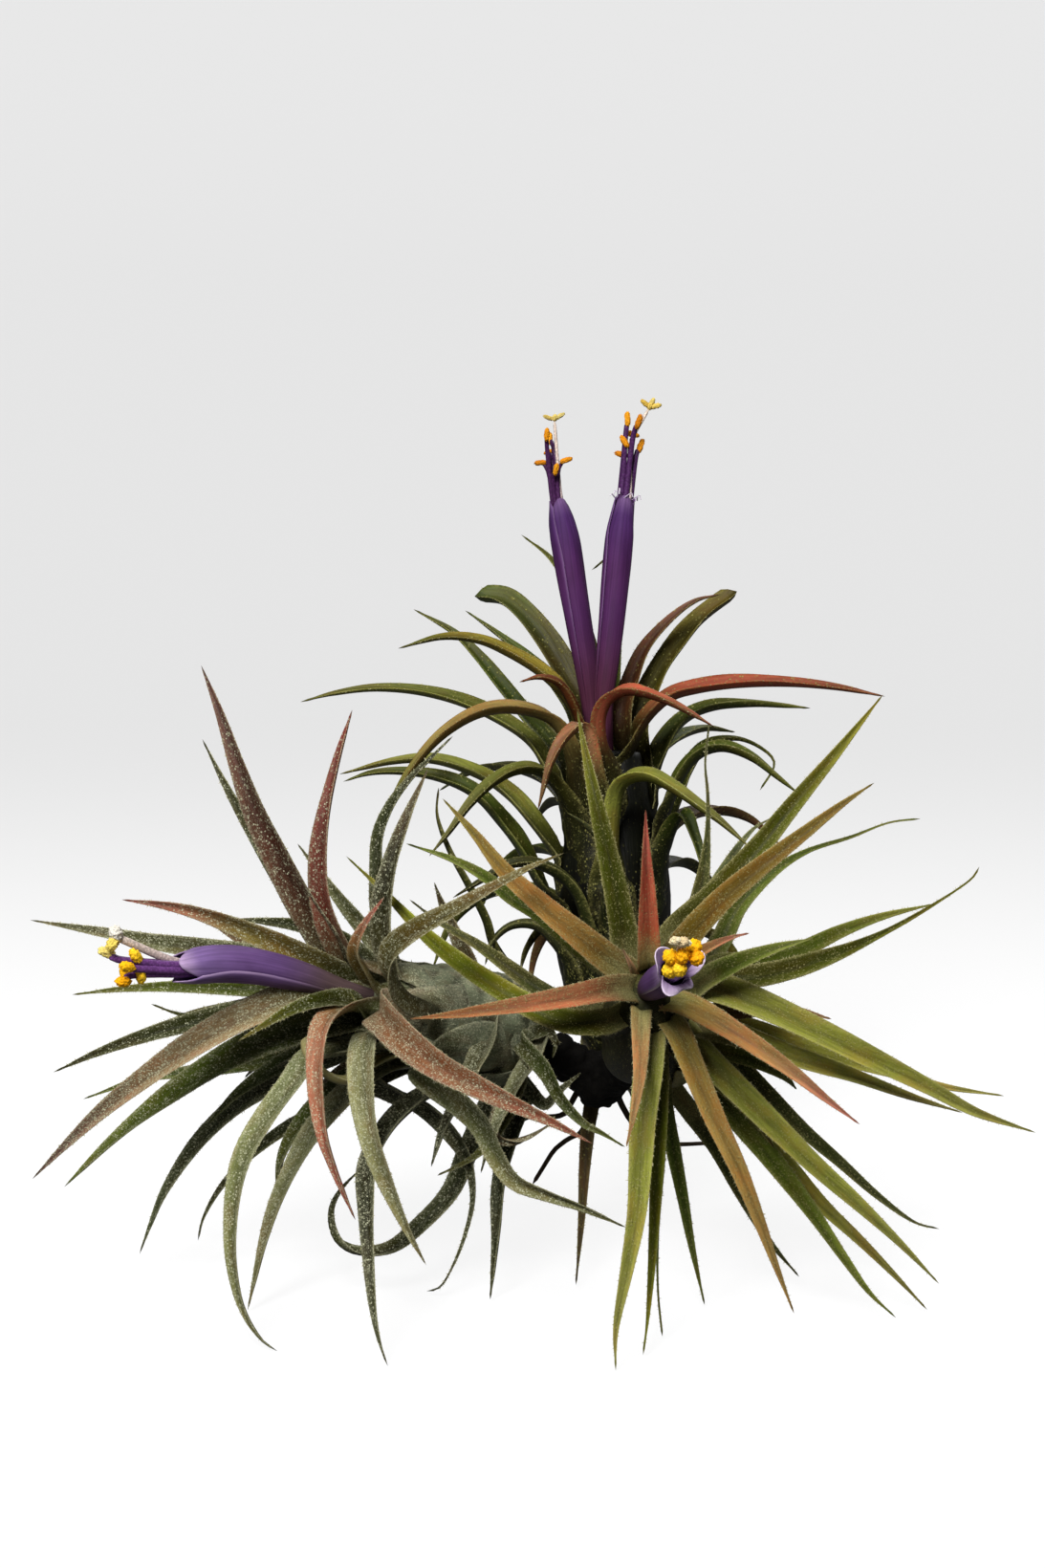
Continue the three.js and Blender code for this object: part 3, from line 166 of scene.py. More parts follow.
LEFT_LEAVES = [
    ("dusk", 6.0, [(-41, 11, 21), (-46, 11, 26), (-52, 9.3, 29), (-59, 6.3, 30), (-66, 2.3, 29),
        (-73, -2.5, 27), (-80, -7.8, 23), (-86, -13.3, 19), (-91.7, -19, 14)]),
    ("deep", 6.0, [(-41, 6.5, 20), (-47, 5.5, 22), (-53, 3.6, 22), (-60, 0.4, 20), (-67, -4, 17),
        (-74, -9, 13), (-80, -14, 9), (-86.5, -20.2, 5)]),
    ("grey", 4.6, [(-40, 2, 15), (-47, -0.5, 14), (-53, -3.6, 12), (-59, -7.5, 9),
        (-65, -13.3, 6), (-70, -20.5, 3), (-72.6, -26.3, 1), (-74.4, -31, 0)]),
    ("dark", 3.2, [(-38, -4, 8), (-44, -8, 6), (-50, -10.5, 4), (-56, -14.8, 2), (-61, -20, 0),
        (-64, -25, -1), (-65, -28.8, -2)]),
    ("sage", 5.2, [(-41, 2, 22), (-46.5, 0.5, 26), (-50, -4, 28), (-54, -9.5, 30),
        (-57.4, -15.5, 31), (-59, -22, 31), (-59.5, -30, 31), (-58.6, -37, 30),
        (-57, -41.5, 29.5), (-54.6, -45, 29), (-52.3, -46.6, 28.8)]),
    ("pearl", 4.8, [(-37, -2, 13), (-42, -6.5, 13), (-46.3, -11.5, 12), (-49.5, -17, 11),
        (-52.3, -23, 11), (-54.3, -29, 11), (-55.8, -35, 11), (-57, -40, 11)]),
    ("salmon", 5.0, [(-39.5, 9, 24), (-42.8, 8, 29), (-45, 5, 33), (-45.7, 0, 35), (-45.5, -6, 36),
        (-44.7, -12, 36), (-43, -17.5, 35), (-41.3, -21.8, 34), (-39.7, -25.5, 33)]),
    ("pearl", 5.6, [(-37, 5, 22), (-38, 2.5, 27), (-38.3, -2, 30), (-38, -7, 30),
        (-36.8, -13, 30), (-34.3, -20, 28), (-31.3, -27, 26), (-28.3, -32.8, 24)]),
    ("shaded_middle", 4.8, [(-24, -3, 10), (-30, -6.5, 15), (-34.5, -11, 20), (-37.4, -17, 25),
        (-37.6, -24, 29), (-37.3, -32, 32), (-36.7, -40, 34), (-35.8, -45, 35),
        (-34.5, -49, 35.3)]),
    ("dark", 4.2, [(-18, -7, 4), (-21, -14, 4), (-24, -21, 4), (-29, -26.5, 5), (-34, -30.3, 6),
        (-39.5, -30.6, 7), (-43, -28, 7), (-43.7, -24, 6), (-42, -20.5, 5), (-38.5, -17, 4)]),
    ("grey", 4.4, [(-37, -2.5, 12), (-33, -5.3, 12), (-28.5, -7.3, 11), (-24.5, -11, 10),
        (-21.5, -16, 9), (-20.7, -22, 8), (-22, -28, 7), (-24, -33, 6), (-26, -36.3, 5),
        (-28.2, -37, 4)]),
    ("dark", 4.2, [(-12, -5, 3), (-14.5, -12, 4), (-16.3, -20, 5), (-16.8, -27, 6),
        (-17.5, -34, 6.5), (-18, -38.3, 7)]),
    ("sage", 5.0, [(-27, 1.5, 22), (-29, -1, 27), (-27, -3.3, 30), (-23, -6.5, 31),
        (-19.3, -10.3, 31), (-17, -15, 31), (-14, -19.2, 31), (-9, -21.4, 31), (-3, -23.6, 30),
        (4, -26.8, 28)]),
    ("rose", 6.4, [(-36, 8.5, 27), (-34.5, 6.5, 33), (-31, 3, 38), (-26, -0.8, 41), (-20, -4, 43),
        (-14, -7, 44), (-8, -9.8, 44), (-1.5, -13.3, 44)]),
    ("meadow", 5.6, [(-29, 9, 30), (-32, 10.5, 36), (-34, 13.5, 41), (-33.8, 17.5, 44),
        (-30, 20.8, 47), (-24.5, 23.8, 48), (-18.5, 27.3, 49), (-12, 30.9, 49), (-6.1, 33.5, 48)]),
    ("wine", 5.4, [(-40, 16, 23), (-43, 20.5, 27), (-44.8, 26, 29), (-45.2, 32, 30),
        (-44.7, 38, 30), (-43.6, 44, 29), (-42, 50.5, 27), (-40.2, 56.5, 25)]),
    ("plum", 6.4, [(-41, 15, 22), (-44.5, 20, 25), (-48.3, 26, 27), (-52, 33, 28),
        (-55.5, 40, 28), (-58.4, 47.5, 27), (-61.3, 55.8, 25), (-64.5, 63.7, 22)]),
    ("dark", 4.0, [(-40, 14, 16), (-46, 21.5, 17), (-51.5, 29.5, 17), (-56.5, 37.5, 16),
        (-60.5, 44.5, 15), (-64.3, 51.8, 13)]),
    ("silver", 3.6, [(-34, 16, 8), (-38, 21.2, 8), (-42, 26, 8), (-45.5, 30.5, 7),
        (-49, 35, 6)]),
    ("blush", 5.0, [(-41.5, 13.5, 21), (-46, 15.8, 25), (-52, 18.8, 28), (-58, 21.4, 29),
        (-65, 23.9, 29), (-71, 25.2, 27), (-77.3, 26, 25)]),
    ("dark", 3.8, [(-36, 15, 8), (-42, 19.6, 6), (-48, 21.7, 4), (-54, 22.5, 2), (-60, 22.9, 0)]),
    ("silver", 4.6, [(-41, 12.5, 16), (-48, 15, 16), (-56, 16.8, 15), (-64, 18, 13),
        (-72, 19.1, 10), (-80, 20.6, 7), (-92, 22.7, 3)]),
    ("deep", 3.4, [(-41, 11, 16), (-49, 11.3, 17), (-58, 11.7, 16), (-67, 12, 14),
        (-76, 11.7, 11), (-85.3, 10.7, 8)]),
    ("dark", 4.6, [(-41, 9.5, 15), (-49, 9.6, 16), (-57, 8.1, 15), (-65, 6.4, 13), (-73, 4.2, 11),
        (-81, 1.4, 8), (-88.3, -1.8, 5)]),
    ("green", 2.6, [(-40, 8, 10), (-50, 8.6, 9), (-60, 8, 7), (-67, 7.4, 6), (-72.6, 9.2, 5)]),
    ("grass", 4.0, [(-41, 9.8, 24), (-45.5, 9.6, 29), (-50, 8.2, 32), (-54.3, 5.8, 34),
        (-58.6, 3.2, 35)]),
    ("green", 3.6, [(-40, 5, 13), (-50, 1, 12), (-58, -0.6, 10), (-66, -1.7, 8), (-74, -2.9, 6),
        (-83.5, -6.1, 3)]),
    ("blush", 4.0, [(-36.5, 12, 24), (-38.4, 14.6, 29), (-39.8, 17.6, 33), (-38.6, 21.3, 35),
        (-35, 26.5, 36)]),
    ("drab", 4.8, [(-33.5, 15, 20), (-35, 20, 23), (-35, 25.5, 24), (-34, 31, 24),
        (-32.3, 36.5, 23), (-30.4, 41.5, 22), (-28, 47, 20)]),
    ("dark", 3.4, [(-33, 15, 10), (-35.5, 23, 9), (-36, 30, 8.5), (-35.9, 36, 8), (-34, 41, 8),
        (-31, 45.2, 8), (-27.8, 48.5, 7), (-24, 52.3, 6)]),
    ("dry", 4.0, [(-20, 14, 5), (-23, 20, 7), (-25.5, 25, 8), (-27, 28.8, 9)]),
    ("green", 3.4, [(-13, 3, 11), (-9, -1.5, 15), (-6.5, -6, 18), (-3, -9.8, 20), (0, -11.5, 21),
        (3.7, -13.8, 21)]),
    ("olive", 3.0, [(-13, -4, 7), (-17, -12, 9), (-21, -15.8, 10), (-26.5, -18.4, 10)]),
    ("frosted", 4.0, [(-9, 5, 8), (-10.8, 0.8, 11), (-13.8, -3.8, 14), (-16.2, -8.5, 16),
        (-18, -13, 17), (-19.5, -18, 17)]),
    ("fading", 4.4, [(-17.5, 5.5, 12), (-19, 2, 16), (-20.5, -1, 18), (-23, -6, 19),
        (-25.5, -11, 19), (-27.5, -17, 18)]),
    ("grey", 3.0, [(-12, -4, 4), (-9, -7, 6), (-7, -5, 7), (-4.8, -3, 7), (-3.4, -1.8, 6)]),
    ("dark", 3.4, [(-12, 3, 6), (-10.5, 4.5, 10), (-8.5, 5, 11), (-7.4, 3, 12), (-8, 0.5, 11)]),
    ("dry", 3.0, [(-13, -2, 10), (-17, -9, 13), (-16.5, -12.4, 14), (-13, -12.7, 15),
        (-8, -10, 15)]),
    ("green", 2.6, [(-38, 7.5, 21), (-39.2, 8.8, 25), (-40.6, 11.2, 28)]),
    ("pale", 2.2, [(-38.5, -1.5, 20), (-40.8, -3.2, 25), (-43.8, -2.4, 28), (-46.8, 0, 30),
        (-48, 2.4, 31), (-47.2, 4, 31.5)]),
]

RIGHT_LEAVES = [
    ("grass", 4.7, [(4, 14, 29), (3.6, 19, 32), (2.5, 26, 34), (0.8, 34, 35), (-1, 42, 35),
        (-2.7, 50, 33), (-4, 56.5, 31)]),
    ("flame2", 4.0, [(7.6, 16, 36), (7.4, 22, 40), (7.2, 29, 44), (7, 35, 47), (7, 40.5, 49)]),
    ("grass", 4.6, [(9.5, 16, 26), (12, 21, 28), (18, 26.5, 29), (25, 34, 28), (31, 41.5, 26),
        (38, 50, 22), (45.2, 59, 17)]),
    ("umber", 4.6, [(10.5, 15, 32), (14, 20, 36), (19.5, 26, 38), (26, 31.5, 39), (33, 37, 38),
        (39, 41.6, 36), (43.8, 44.8, 34)]),
    ("green", 3.8, [(14, 12, 15), (19, 19, 13), (22, 25, 11), (27, 30, 9), (33, 33.7, 7),
        (40, 36, 5), (46, 38.3, 3), (51.2, 39, 2)]),
    ("grey", 3.4, [(12, 14, 10), (16, 24, 5), (20, 31.5, 2), (24, 37, 0), (27.5, 39.2, -1)]),
    ("dark", 3.4, [(11, 13, 18), (14.5, 22, 18), (16.3, 30, 18), (17, 37, 17.5), (17, 43, 17),
        (16.6, 48, 16), (17.2, 54, 15)]),
    ("grass", 4.2, [(13, 12.5, 28), (17.5, 14, 31), (23, 13.3, 31), (30, 14.6, 29),
        (38, 17.3, 26), (46, 21, 22), (53, 25, 18), (59, 29, 14), (60.7, 31.3, 12)]),
    ("deep", 4.0, [(14, 13, 20), (19, 15.3, 21), (25, 15.3, 20), (31, 17.2, 17), (38, 20.6, 13),
        (45, 23.2, 10), (53.5, 25.3, 7)]),
    ("moss", 5.1, [(13, 12, 31), (19, 11.5, 34), (27, 8.3, 35), (36, 4, 34), (44, 0, 31),
        (52, -4, 28), (60, -8.2, 24), (69.8, -11.5, 19)]),
    ("moss", 3.8, [(14, 8, 20), (24, 5, 20), (36, 1, 18), (46, -1.8, 15), (55, -4.2, 12),
        (64.7, -5.6, 9)]),
    ("fern", 4.2, [(14, 7, 26), (22, 4, 28), (31, 0.5, 28), (40, -2.4, 26), (49, -5.6, 23),
        (58, -8.3, 20)]),
    ("copper", 4.4, [(10.5, 9.5, 35), (14, 8.7, 40), (19, 6, 43), (25, 2.2, 45), (31, -2, 46),
        (36, -6, 46), (41.5, -10.2, 46)]),
    ("moss", 4.7, [(12, 6, 30), (16, 1, 33), (21, -4, 34), (27, -10, 33), (34, -16.8, 31),
        (41, -23, 28), (48, -29.5, 24), (54.2, -35.8, 20)]),
    ("fern", 4.0, [(13, 2, 20), (20, -6, 22), (28, -15, 22), (35, -23, 20), (41, -28.6, 18),
        (47, -34.5, 15), (52.3, -40, 12)]),
    ("dark", 3.4, [(14, 5, 16), (20, 1, 16), (26, -5, 15), (32, -11, 13), (38, -16.2, 10),
        (44, -21.5, 7), (50, -25.8, 5), (54.3, -27, 4)]),
    ("deep", 4.3, [(12, 3, 26), (16, -2, 28), (21, -8.5, 28), (27, -15.7, 26), (33, -23.5, 23),
        (39, -32, 19), (43, -37.3, 16.5), (47.3, -41.3, 14.3)]),
    ("bronze", 4.1, [(10.5, 7, 34), (12.5, 4, 38), (15, -2, 41), (18.2, -9.5, 41), (22, -17.5, 39),
        (25.2, -25.5, 36), (28, -33, 33), (30.9, -40.6, 30)]),
    ("dark", 3.3, [(11, -4, 10), (14, -8, 10), (18, -13.5, 8), (22, -21, 6), (26.5, -28.5, 4),
        (31.7, -34.7, 2)]),
    ("moss", 4.8, [(7.8, 5.5, 33), (7.5, -1, 38), (6.6, -9, 40), (6.2, -17, 41), (5.6, -25, 41),
        (4, -34, 40), (2.3, -43, 38.5), (2.2, -49.8, 37.4)]),
    ("ember3", 3.4, [(6.2, 8, 37), (6.2, 3, 42), (6, -3, 46), (5, -9, 48), (3.9, -13.8, 49)]),
    ("lime", 3.0, [(9, 5, 28), (9.3, -3, 31), (9.2, -11, 32), (8.8, -19, 33), (8.4, -27, 33),
        (7.9, -35, 33), (7.3, -42, 32), (6.6, -47.3, 31.5)]),
    ("green", 2.4, [(9.5, -2, 24), (9.2, -15, 26), (8.9, -28, 26), (9, -37, 25), (9.7, -44.3, 24)]),
    ("green", 3.0, [(9.5, 1, 18), (10, -7, 20), (11.4, -14, 19), (13, -22, 17), (14.4, -29.5, 14),
        (16.5, -39.2, 10)]),
    ("ember", 4.6, [(5, 11.5, 35), (1, 11.4, 40), (-4, 10.4, 43), (-10, 9.3, 45), (-17, 8.3, 46),
        (-24, 7.4, 46), (-31, 6.8, 45)]),
    ("lime", 4.3, [(4, 8, 31), (0, 6.4, 36), (-5, 6.2, 38), (-10, 7.8, 38), (-16, 11.2, 36),
        (-22, 15.2, 32), (-28, 20, 25), (-34.5, 26.6, 16.5), (-41.2, 33, 13)]),
    ("dark", 3.4, [(2, 9, 20), (-5, 9, 21), (-10, 11.4, 21), (-15, 15, 19), (-20, 18.6, 16),
        (-26, 22.2, 13), (-31, 26, 11)]),
    ("ember2", 5.0, [(5, 13.5, 34), (1, 16.2, 37), (-5, 21, 40), (-10, 25.2, 41),
        (-15.5, 30.2, 41), (-20.5, 36.5, 40), (-25.7, 42.3, 38)]),
    ("copper", 3.2, [(12, 14.5, 36), (15, 16.8, 41), (18, 18.6, 45), (21, 19.9, 48),
        (23.7, 20.6, 50)]),
    ("deep", 3.4, [(3, 13.5, 28), (-3, 17.5, 31), (-10, 23.3, 32), (-14.5, 26, 31),
        (-18.5, 29.3, 28), (-24, 32.3, 23), (-31.5, 35, 16)]),
    ("mauve", 2.6, [(5.4, 12, 30), (4.9, 14.8, 35), (3.3, 18.1, 38)]),
    ("mauve", 2.4, [(8.4, 10.2, 30), (9.2, 9.2, 35), (10.2, 7.6, 38)]),
]
LEAVES = {"back": BACK_LEAVES, "left": LEFT_LEAVES, "right": RIGHT_LEAVES}

# %% [markdown]
# Each flower has its rosette, its centre line from the crown to the mouth, its half width along
# the way, the flare of its petal tips and its own shade. Anthers and stigmas follow.

# %% Flowers
FLOWERS = [
    {"line": [(-1.4, 47, -21.5), (-1.8, 57, -21), (-2.5, 63, -20.5), (-3.7, 70, -20.5),
        (-4.9, 77, -21), (-6, 84, -21.5), (-7.2, 90, -22)],
     "girth": [(0, 0.95), (0.3, 1.75), (0.42, 1.95), (0.55, 2.1), (0.72, 2.3), (0.84, 2.35),
        (0.92, 2.05), (0.97, 1.45), (1, 1.15)],
     "flare": 0.0, "reach": 0.03, "shade": "deep", "turn": 0.6},
    {"line": [(1, 47, -16), (0.3, 57, -16), (0.9, 64, -16), (1.6, 71, -16.5),
        (2.2, 78, -17), (2.9, 85, -17.5), (3.7, 90.3, -18)],
     "girth": [(0, 0.95), (0.3, 1.75), (0.42, 1.95), (0.55, 2.1), (0.72, 2.25), (0.86, 2.3),
        (0.93, 1.85), (1, 1.4)],
     "flare": 0.15, "reach": 0.04, "shade": "deep", "turn": 2.2},
    {"line": [(-36.5, 10.3, 17), (-42, 11.6, 21.5), (-49, 13.7, 27), (-56, 15.2, 32),
        (-62, 15.6, 36), (-68, 15, 40)],
     "girth": [(0, 1.1), (0.3, 2.1), (0.5, 2.6), (0.7, 2.85), (0.88, 2.85), (0.95, 2.6),
        (1, 2.05)],
     "flare": 0.1, "reach": 0.1, "shade": "pale", "turn": 1.9},
    {"line": [(7, 11, 29), (7.2, 11.3, 34), (8.3, 12.2, 42), (9.8, 13.2, 50),
        (11.2, 14.2, 57), (12.2, 14.7, 63)],
     "girth": [(0, 1.1), (0.3, 2.1), (0.5, 2.5), (0.7, 2.6), (0.84, 2.4), (0.92, 2.1),
        (1, 2.0)],
     "flare": 2.3, "reach": 0.12, "shade": "open", "turn": 0.2},
]
ANTHERS = [
    [(-8.9, 100.8, -20.5), (-8.4, 100.2, -25), (-9.9, 96.3, -22.5), (-5.8, 96.7, -20.5),
        (-7.4, 95.2, -19), (-8.4, 98, -25.5)],
    [(3.6, 99.7, -17), (4.1, 103.3, -18.5), (5.9, 102.9, -15.5), (6.2, 99, -19),
        (4.8, 100.9, -20.5), (3.2, 97.6, -20)],
    [(-76.4, 15.2, 48), (-77, 12.8, 46), (-75, 16.9, 46), (-76.8, 14.4, 44),
        (-79.7, 17.5, 46), (-74.2, 13.8, 44.5)],
    [(11, 16.8, 72), (13, 16.9, 73), (12.5, 14.8, 71.5), (14.8, 18.4, 72),
        (15.2, 16.6, 72.5), (10.9, 14.6, 70)],
]
STIGMAS = [(-7.7, 103.4, -22.3), (7.7, 105.3, -18.2), (-78.2, 20, 47.5), (12.6, 19.1, 75)]

# %% [markdown]
# Colours are written as they look on a screen, from 0 to 255, and turned into light values. A
# tint is the colour of the sheath, of the middle of the blade and of its tip, with the share of
# silver scales on it.

# %% Colours
TINTS = {
    "olive": ((76, 72, 24), (94, 94, 28), (100, 94, 40), 0.4),
    "shade": ((56, 50, 14), (68, 64, 14), (92, 84, 28), 0.3),
    "moss": ((97, 98, 36), (115, 117, 45), (120, 117, 57), 0.45),
    "brass": ((72, 66, 18), (140, 124, 46), (92, 96, 32), 0.4),
    "amber": ((138, 114, 60), (156, 128, 70), (88, 92, 34), 0.4),
    "fern": ((104, 102, 38), (140, 141, 58), (118, 113, 56), 0.45),
    "green": ((54, 60, 18), (66, 78, 22), (90, 96, 40), 0.4),
    "deep": ((56, 62, 16), (70, 82, 18), (94, 102, 40), 0.45),
    "dark": ((40, 44, 16), (54, 58, 24), (64, 64, 34), 0.4),
    "lime": ((50, 52, 8), (76, 82, 12), (102, 104, 32), 0.2),
    "lime2": ((70, 68, 24), (88, 92, 36), (104, 102, 56), 0.4),
    "grass": ((48, 48, 8), (56, 60, 8), (98, 96, 28), 0.3),
    "red": ((44, 40, 10), (88, 46, 20), (126, 74, 48), 0.3),
    "flame": ((76, 66, 22), (170, 86, 62), (138, 82, 56), 0.4),
    "flame2": ((100, 84, 22), (150, 74, 52), (140, 72, 62), 0.3),
    "tan": ((80, 76, 24), (160, 114, 80), (124, 92, 62), 0.6),
    "brick": ((70, 48, 22), (92, 54, 30), (124, 86, 64), 0.3),
    "ember": ((26, 22, 4), (130, 82, 54), (114, 76, 42), 0.5),
    "ember2": ((62, 50, 10), (126, 94, 44), (98, 88, 34), 0.45),
    "ember3": ((60, 62, 20), (148, 108, 66), (138, 100, 60), 0.5),
    "copper": ((130, 118, 48), (148, 108, 62), (138, 90, 74), 0.4),
    "bronze": ((112, 96, 34), (140, 112, 56), (134, 108, 60), 0.45),
    "umber": ((78, 64, 10), (98, 80, 28), (112, 96, 44), 0.4),
    "rust": ((74, 66, 26), (100, 68, 36), (114, 82, 56), 0.5),
    "rusty": ((38, 30, 6), (74, 66, 26), (86, 96, 40), 0.3),
    "grey": ((54, 58, 32), (68, 72, 42), (76, 80, 50), 0.6),
    "frosted": ((136, 140, 110), (100, 102, 66), (80, 84, 46), 1.0),
    "fading": ((134, 136, 106), (74, 70, 32), (44, 48, 22), 0.9),
    "pearl": ((98, 98, 62), (122, 122, 78), (116, 112, 68), 1.0),
    # This tint's middle is darker than its ends: painted shade, where the blade lies in shadow.
    "shaded_middle": ((56, 58, 32), (42, 44, 18), (74, 74, 44), 0.6),
    "silver": ((84, 88, 50), (92, 94, 54), (100, 98, 60), 0.8),
    "sage": ((90, 94, 54), (106, 108, 60), (110, 106, 64), 0.9),
    "meadow": ((80, 76, 34), (78, 72, 26), (110, 98, 50), 0.5),
    "dusk": ((92, 92, 48), (136, 112, 76), (108, 80, 70), 0.85),
    "salmon": ((108, 112, 62), (168, 104, 74), (158, 84, 70), 0.75),
    "rose": ((136, 108, 76), (138, 86, 52), (156, 88, 66), 0.7),
    "plum": ((62, 56, 30), (80, 48, 34), (108, 72, 60), 0.32),
    "wine": ((106, 92, 58), (116, 56, 44), (136, 62, 50), 0.35),
    "blush": ((72, 78, 24), (108, 94, 40), (142, 84, 70), 0.4),
    "drab": ((70, 66, 38), (42, 40, 16), (90, 76, 50), 0.45),
    "mauve": ((98, 66, 42), (140, 100, 66), (150, 116, 88), 0.5),
    "pale": ((150, 150, 84), (168, 164, 104), (176, 168, 112), 0.1),
    "dry": ((100, 90, 58), (104, 88, 56), (86, 74, 48), 0.5),
}

# %% [markdown]
# The three rosettes differ in their looks. The numbers below say how the sheaths are toned and
# frosted, how deep the painted shade in the bulb's dents, along the sheath edges and at the blade
# bases is, how the heart under the sheaths is coloured on the near and far side, and how bright the
# leaves are.

# %% Looks of each rosette
# Sheath tones are partly painted light: the back's is near black as painted shade, where that bulb
# sits in shadow, and the left's is raised so that its bulb looks lit under the leaves.
SHEATH_TONE_AND_SHADE = {"back": (34, 38, 16), "left": (138, 146, 118), "right": (84, 84, 34)}
SHEATH_MIX = {"back": 0.75, "left": 0.9, "right": 0.75}
SHEATH_FROST = {"back": 0.08, "left": 0.75, "right": 0.25}
PUCKER = {"back": 0.12, "left": 0.38, "right": 0.0}
DENT_SHADE = {"back": 0.5, "left": 0.6, "right": 0.2}
THROAT_FROST = {"back": 0.0, "left": 0.1, "right": 0.9}
THROAT_TONE = (142, 138, 88)
# The heart's side toward the viewer is painted dark as shade on the back and right rosettes; its
# far side keeps a lighter tone.
CORE_NEAR_TONE_AND_SHADE = {"back": (8, 9, 4), "left": (112, 118, 92), "right": (34, 34, 16)}
CORE_BACK = {"back": (66, 66, 34), "left": (112, 118, 92), "right": (60, 60, 28)}
CORE_FROST = {"back": 0.0, "left": 1.0, "right": 0.2}
FROST_SHARE = {"back": 0.6, "left": 1.0, "right": 0.7}
# Painted shade: sheaths darken toward their overlapping edges, and blades darken near the heart,
# where light does not reach.
PAINTED_SHEATH_SHADE = {"back": 0.88, "left": 0.5, "right": 0.5}
PAINTED_SHEATH_SHADE_START = {"back": 0.45, "left": 0.0, "right": 0.1}
PAINTED_BASE_SHADE = {"back": 0.4, "left": 0.2, "right": 0.1}
BRIGHTNESS = {"back": 0.64, "left": 0.76, "right": 1.18}
# Painted shade along the channel of each blade.
KEEL_SHADE = 0.32
# Painted light: how much lighter one half of a blade is, and how much darker the other.
SIDE_SHADE = 0.28
THROAT_SHARE = 0.45
RED_LINE = 0.55


def light(colour):
    """A screen colour, 0 to 255, as linear light."""
    part = np.asarray(colour, dtype=float) / 255
    return np.where(part <= 0.04045, part / 12.92, ((part + 0.055) / 1.055) ** 2.4)


def mix(first, second, share):
    return first * (1 - share) + second * share


# %% [markdown]
# A small repeatable random, so that every run grows the same plant.

# %% Repeatable random
def make_random(seed):
    state = [seed]

    def draw():
        state[0] = (state[0] * 16807) % 2147483647
        return state[0] / 2147483647

    return draw


def unit(vector):
    return vector / np.linalg.norm(vector)


def ease(low, high, value):
    """Rises smoothly from 0 at low to 1 at high."""
    x = np.clip((value - low) / (high - low), 0, 1)
    return x * x * (3 - 2 * x)


# %% [markdown]
# A smooth line runs through its points. It is sampled closely and then read at even lengths.

# %% Smooth lines
def dense_line(points, per_span=24):
    points = [np.asarray(p, dtype=float) for p in points]
    padded = [2 * points[0] - points[1]] + points + [2 * points[-1] - points[-2]]
    out = []
    for i in range(1, len(padded) - 2):
        before, start, end, after = padded[i - 1:i + 3]
        leave = (end - before) / 2
        arrive = (after - start) / 2
        for step in range(per_span):
            t = step / per_span
            out.append(start * (2 * t**3 - 3 * t**2 + 1) + leave * (t**3 - 2 * t**2 + t)
                       + end * (3 * t**2 - 2 * t**3) + arrive * (t**3 - t**2))
    out.append(points[-1])
    return np.array(out)


def read_line(points, fractions):
    """Places, directions and the whole length of a smooth line."""
    dense = dense_line(points)
    steps = np.linalg.norm(np.diff(dense, axis=0), axis=1)
    walked = np.concatenate([[0], np.cumsum(steps)])
    length = walked[-1]
    slopes = np.gradient(dense, walked, axis=0)
    wanted = np.asarray(fractions) * length
    places = np.stack([np.interp(wanted, walked, dense[:, k]) for k in range(3)], axis=1)
    ways = np.stack([np.interp(wanted, walked, slopes[:, k]) for k in range(3)], axis=1)
    ways /= np.linalg.norm(ways, axis=1, keepdims=True)
    return places, ways, length


# %% [markdown]
# The axis of a rosette knows how thick the bulb is at each height.

# %% Rosette axes
def rosette_axis(name):
    base = place(AXES[name][0])
    crown = place(AXES[name][1])
    length = float(np.linalg.norm(crown - base))
    direction = (crown - base) / length

    def bulb(height):
        u = np.clip(height / length, 0, 1)
        swell = np.sin(math.pi * (0.16 + 0.84 * u) ** BULB_POWER[name])
        foot = 0.4 + 0.6 * np.sin(np.minimum(1, u / 0.26) * math.pi / 2)
        return foot * BULB_RADIUS[name] * (0.34 + 0.66 * np.maximum(0, swell) ** 0.6)

    return {"name": name, "base": base, "length": length, "direction": direction, "bulb": bulb}


def leaf_path(axis, measured):
    """Points from the foot of the sheath to the tip, and the way out from the axis."""
    offset = measured[0] - axis["base"]
    along = np.clip(offset @ axis["direction"], 0.1 * axis["length"], axis["length"])
    radial = offset - (offset @ axis["direction"]) * axis["direction"]
    reach = float(np.linalg.norm(radial))
    radial = unit(radial)
    beyond = max(0, reach - axis["bulb"](along))
    shoulder = np.clip(along - 0.6 * beyond - 3, 0.14 * axis["length"], 0.86 * axis["length"])
    lift = min(axis["bulb"](shoulder) - 0.5, reach)
    run = min(SHEATH_RUN[axis["name"]], shoulder)
    rows = []
    for share in (1.0, 0.5):
        height = shoulder - share * run
        depth = 0.5 + 0.06 * share * run
        rows.append((height, min(lift, axis["bulb"](height)) - depth))
    rows.append((shoulder, lift))
    spots = [axis["base"] + h * axis["direction"] + max(0.6, r) * radial for h, r in rows]
    return spots + measured, radial


